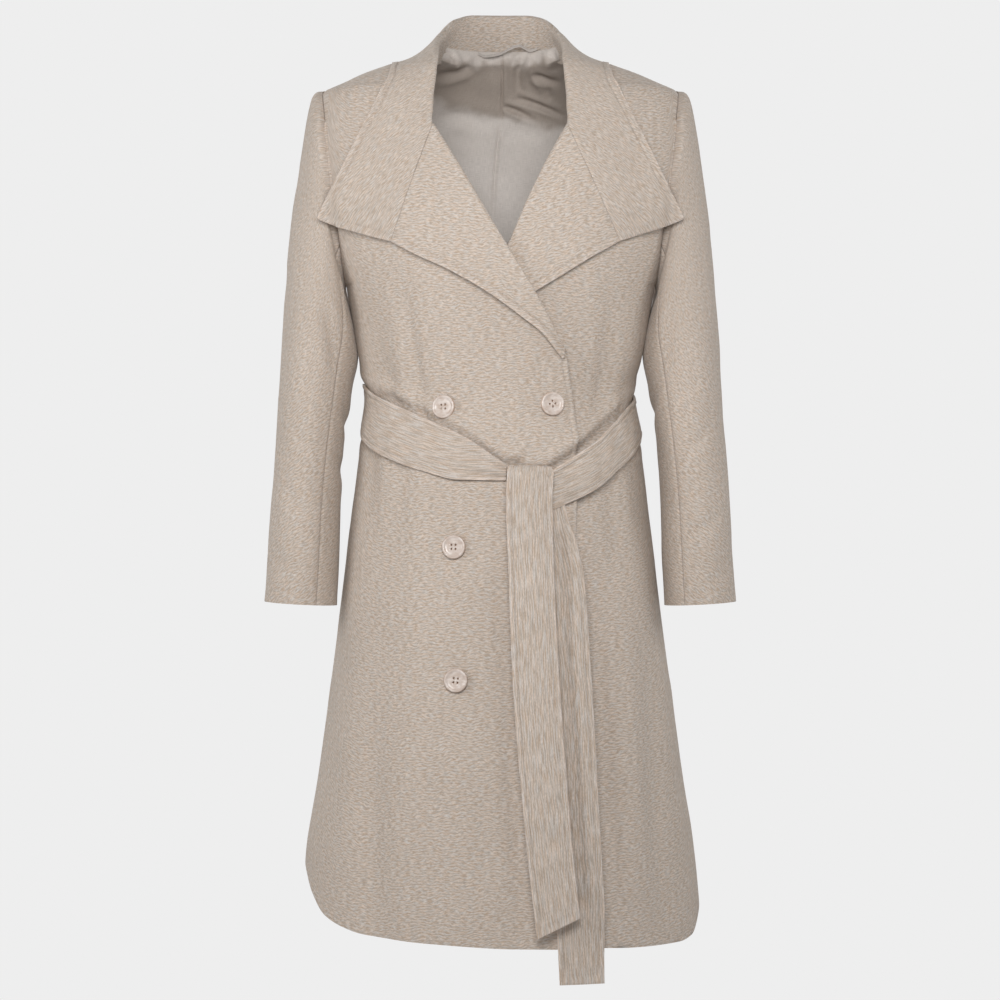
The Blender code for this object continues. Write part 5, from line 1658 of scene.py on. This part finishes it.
def button_place(x, z, turn):
    """Where a button lies on the cloth: its seat, lean and turn."""
    lean_x, lean_z = leans(front_depth, x, z)
    around = np.linspace(0, 2 * math.pi, 48)
    step_x = BUTTON_RADIUS * np.cos(around)
    step_z = BUTTON_RADIUS * np.sin(around)
    cloth = on_front(-1, np.array(x), np.array(z), 0.0)
    rim = on_front(-1, x + step_x, z + step_z, 0.0)
    rise = np.max(cloth[1] - rim[:, 1] - lean_x * step_x - lean_z * step_z)
    seat = Vector(cloth - np.array((0, max(rise, 0) + BUTTON_SEAT, 0)))
    aside = Matrix.Rotation(-math.atan(float(lean_x)), 4, "Z")
    upright = Matrix.Rotation(math.pi / 2 + math.atan(float(lean_z)), 4, "X")
    return Matrix.Translation(seat) @ aside @ upright @ Matrix.Rotation(math.radians(turn - 45), 4, "Z")


def button_bars(name, places):
    """Two bars of pale thread over the holes of each button."""
    bm = bmesh.new()
    for place in places:
        for row in (-1, 1):
            middle = Matrix.Translation((0, row * HOLE_OFFSET * math.sqrt(0.5), BAR_LEVEL))
            bar = place @ middle @ Matrix.Diagonal((*BAR_HALF, 1.0))
            bmesh.ops.create_uvsphere(bm, u_segments=12, v_segments=8, radius=1.0, matrix=bar)
    return wear(show(name, bm, PALE_THREAD))


def button_shanks(name, places):
    """A dark brown rod under each button, painted shade that shows in its holes."""
    bm = bmesh.new()
    for place in places:
        rod(bm, *SHANK_RADII, SHANK_LENGTH, place @ Matrix.Translation((0, 0, SHANK_LEVEL)))
    return wear(show(name, bm, HOLE_SHADE_LOOK))


# Putting the coat together

FRONT_STITCH_TOP = BREAK - 0.012


def sewn_on(name, *lines):
    return [stitches(name, lines, SEWING)]


def make_back():
    points, weave = back_piece()
    piece = cloth_piece("back", points, weave, CLOTH, WOOL, PANEL_RIM)


def make_front(side, word):
    points, weave = front_piece(side, word)
    piece = cloth_piece("front_" + word, points, weave, CLOTH, WOOL, PANEL_RIM)
    sewn = []
    if side < 0:
        line = points[:, -1 - FRONT_STITCH_COLUMN]
        out = facing(points)[:, -1 - FRONT_STITCH_COLUMN]
        below = line[:, 2] < FRONT_STITCH_TOP
        sewn = sewn_on("front_edge_stitches", (line[below], out[below]))


def make_lapel(side, word):
    points, weave, size, line, to_edge = lapel_piece(side)
    piece = cloth_piece("lapel_" + word, points, weave, CLOTH, WOOL, to_edge=to_edge)
    sewn = sewn_on("lapel_" + word + "_stitches", line)


def make_sleeve(side, word):
    rows = SLEEVE_CREASES_RIGHT if side < 0 else SLEEVE_CREASES_LEFT
    front, back = FRONT_SLEEVE_SEAM, BACK_SLEEVE_SEAM
    for node, first, last, steps, neighbour in (
        ("sleeve_top_" + word, back - 360, front, TOP_SLEEVE_STEPS, "front_" + word + "_cloth"),
        ("sleeve_under_" + word, front, back, UNDER_SLEEVE_STEPS, "sleeve_top_" + word + "_cloth"),
    ):
        points, weave, size = sleeve_piece(side, first, last, steps, rows)
        piece = cloth_piece(node, points, weave, CLOTH, WOOL, PANEL_RIM)


def make_collar():
    points, weave, size, line, to_edge = collar_piece()
    piece = cloth_piece("collar", points, weave, CLOTH, WOOL, to_edge=to_edge)
    sewn = sewn_on("collar_stitches", line)


def make_belt():
    """The belt round the waist and its two hanging ends, stitched along both edges."""
    body = ["front_right_cloth", "front_left_cloth", "back_cloth"]
    belt = ["belt_round_waist_cloth"]
    for node, made, sewing, shown, held, rests_on in (
        ("belt_round_waist", belt_round_piece(), "belt_stitches", BELT_SHOWN, "gathered", body),
        ("belt_front_tail", front_tail_piece(), "belt_front_tail_stitches", TAIL_SHOWN, "hung", belt),
        ("belt_under_tail", under_tail_piece(), "belt_under_tail_stitches", TAIL_SHOWN, "hung", belt),
    ):
        points, weave, to_edge = made
        piece = cloth_piece(node, points, weave, BELT_CLOTH, BELT_WOOL, to_edge=to_edge)
        along, out = points, facing(points)
        if held == "hung":
            along, out = np.swapaxes(along, 0, 1), np.swapaxes(out, 0, 1)
        lines = [(along[row, shown], out[row, shown]) for row in (BELT_STITCH_ROW, -1 - BELT_STITCH_ROW)]
        sewn_on(sewing, *lines)


def make_lining():
    tape, weave = loop_piece()
    loop = cloth_piece("hanger_loop", tape, weave, LOOP_WALL, TAPE)
    points, weave = lining_piece()
    piece = cloth_piece("lining_back", points, weave, LINING_CLOTH, SATIN)


def make_buttons():
    blank = button_mesh()
    places = []
    for name, x, z, turn in BUTTONS:
        place = button_place(x, z, turn)
        mesh = blank.copy()
        mesh.transform(place)
        piece = bpy.data.objects.new(name + "_pearl", mesh)
        bpy.context.scene.collection.objects.link(piece)
        wear(piece, name)
        places.append(place)
    button_bars("button_bars", places)
    button_shanks("button_shanks", places)


def coat():
    make_back()
    for side, word in ((-1, "right"), (1, "left")):
        make_front(side, word)
        make_lapel(side, word)
        make_sleeve(side, word)
    make_collar()
    make_belt()
    make_lining()
    make_buttons()


# Stage

FLOOR_HALF = (2.2, 1.5, 1.0)
FLOOR_PLACE = (0, -0.5, -1.30)
FLOOR_TONE = (0.62, 0.62, 0.62, 1.0)

# The room's tone before and behind the coat, and where the one fades into the other
ROOM_FRONT = (0.125, 0.125, 0.125, 1.0)
ROOM_REAR = (0.855, 0.855, 0.855, 1.0)
ROOM_FADE = (0.10, 0.75)

# Soft lights: name, place, aim, size and power
LIGHTS = (
    ("front", (0.0, -1.60, 0.05), (0.0, 0.0, -0.10), 0.8, 18.5),
    ("left", (-1.9, -1.2, 0.0), (0.0, 0.0, -0.3), 1.2, 16.8),
    ("right", (2.1, -0.5, 0.15), (0.0, 0.0, -0.3), 1.2, 12.2),
    ("behind", (-1.6, 1.8, 0.7), (0.0, 0.0, -0.3), 1.2, 8.0),
)
CAMERA_PLACE = (-0.0006, -3.2, -0.5168)
CAMERA_LENS = 97.63
CAMERA_SENSOR = 36.0


def floor():
    bm = bmesh.new()
    bmesh.ops.create_grid(bm, x_segments=1, y_segments=1, size=1.0)
    bmesh.ops.scale(bm, vec=FLOOR_HALF, verts=bm.verts)
    bmesh.ops.translate(bm, vec=FLOOR_PLACE, verts=bm.verts)
    look = Look("pale_floor", 0.9)
    look.shader.inputs["Base Color"].default_value = FLOOR_TONE
    show("floor", bm, look.material)


def room():
    world = bpy.data.worlds.new("studio")
    bpy.context.scene.world = world
    world.use_nodes = True
    nodes, links = world.node_tree.nodes, world.node_tree.links
    way = nodes.new("ShaderNodeSeparateXYZ")
    links.new(nodes.new("ShaderNodeTexCoord").outputs["Generated"], way.inputs[0])
    behind = nodes.new("ShaderNodeMapRange")
    links.new(way.outputs["Y"], behind.inputs[0])
    for index, value in enumerate((*ROOM_FADE, 0.0, 1.0), 1):
        behind.inputs[index].default_value = value
    tone = nodes.new("ShaderNodeMix")
    tone.data_type = "RGBA"
    links.new(behind.outputs[0], tone.inputs[0])
    tone.inputs[6].default_value = ROOM_FRONT
    tone.inputs[7].default_value = ROOM_REAR
    links.new(tone.outputs[2], nodes["Background"].inputs["Color"])


def soft_light(name, place, aim, size, power):
    lamp = bpy.data.lights.new(name, "AREA")
    lamp.shape = "DISK"
    lamp.size = size
    lamp.energy = power
    made = bpy.data.objects.new(name, lamp)
    made.location = place
    made.rotation_euler = (Vector(aim) - Vector(place)).to_track_quat("-Z", "Y").to_euler()
    bpy.context.scene.collection.objects.link(made)


def studio():
    room()
    for light in LIGHTS:
        soft_light(*light)
    scene = bpy.context.scene
    scene.view_settings.view_transform = "Standard"
    camera = bpy.data.cameras.new("camera")
    camera.lens = CAMERA_LENS
    camera.sensor_width = CAMERA_SENSOR
    made = bpy.data.objects.new("camera", camera)
    made.location = CAMERA_PLACE
    made.rotation_euler = (math.pi / 2, 0, 0)
    scene.collection.objects.link(made)
    scene.camera = made


coat()
floor()
studio()
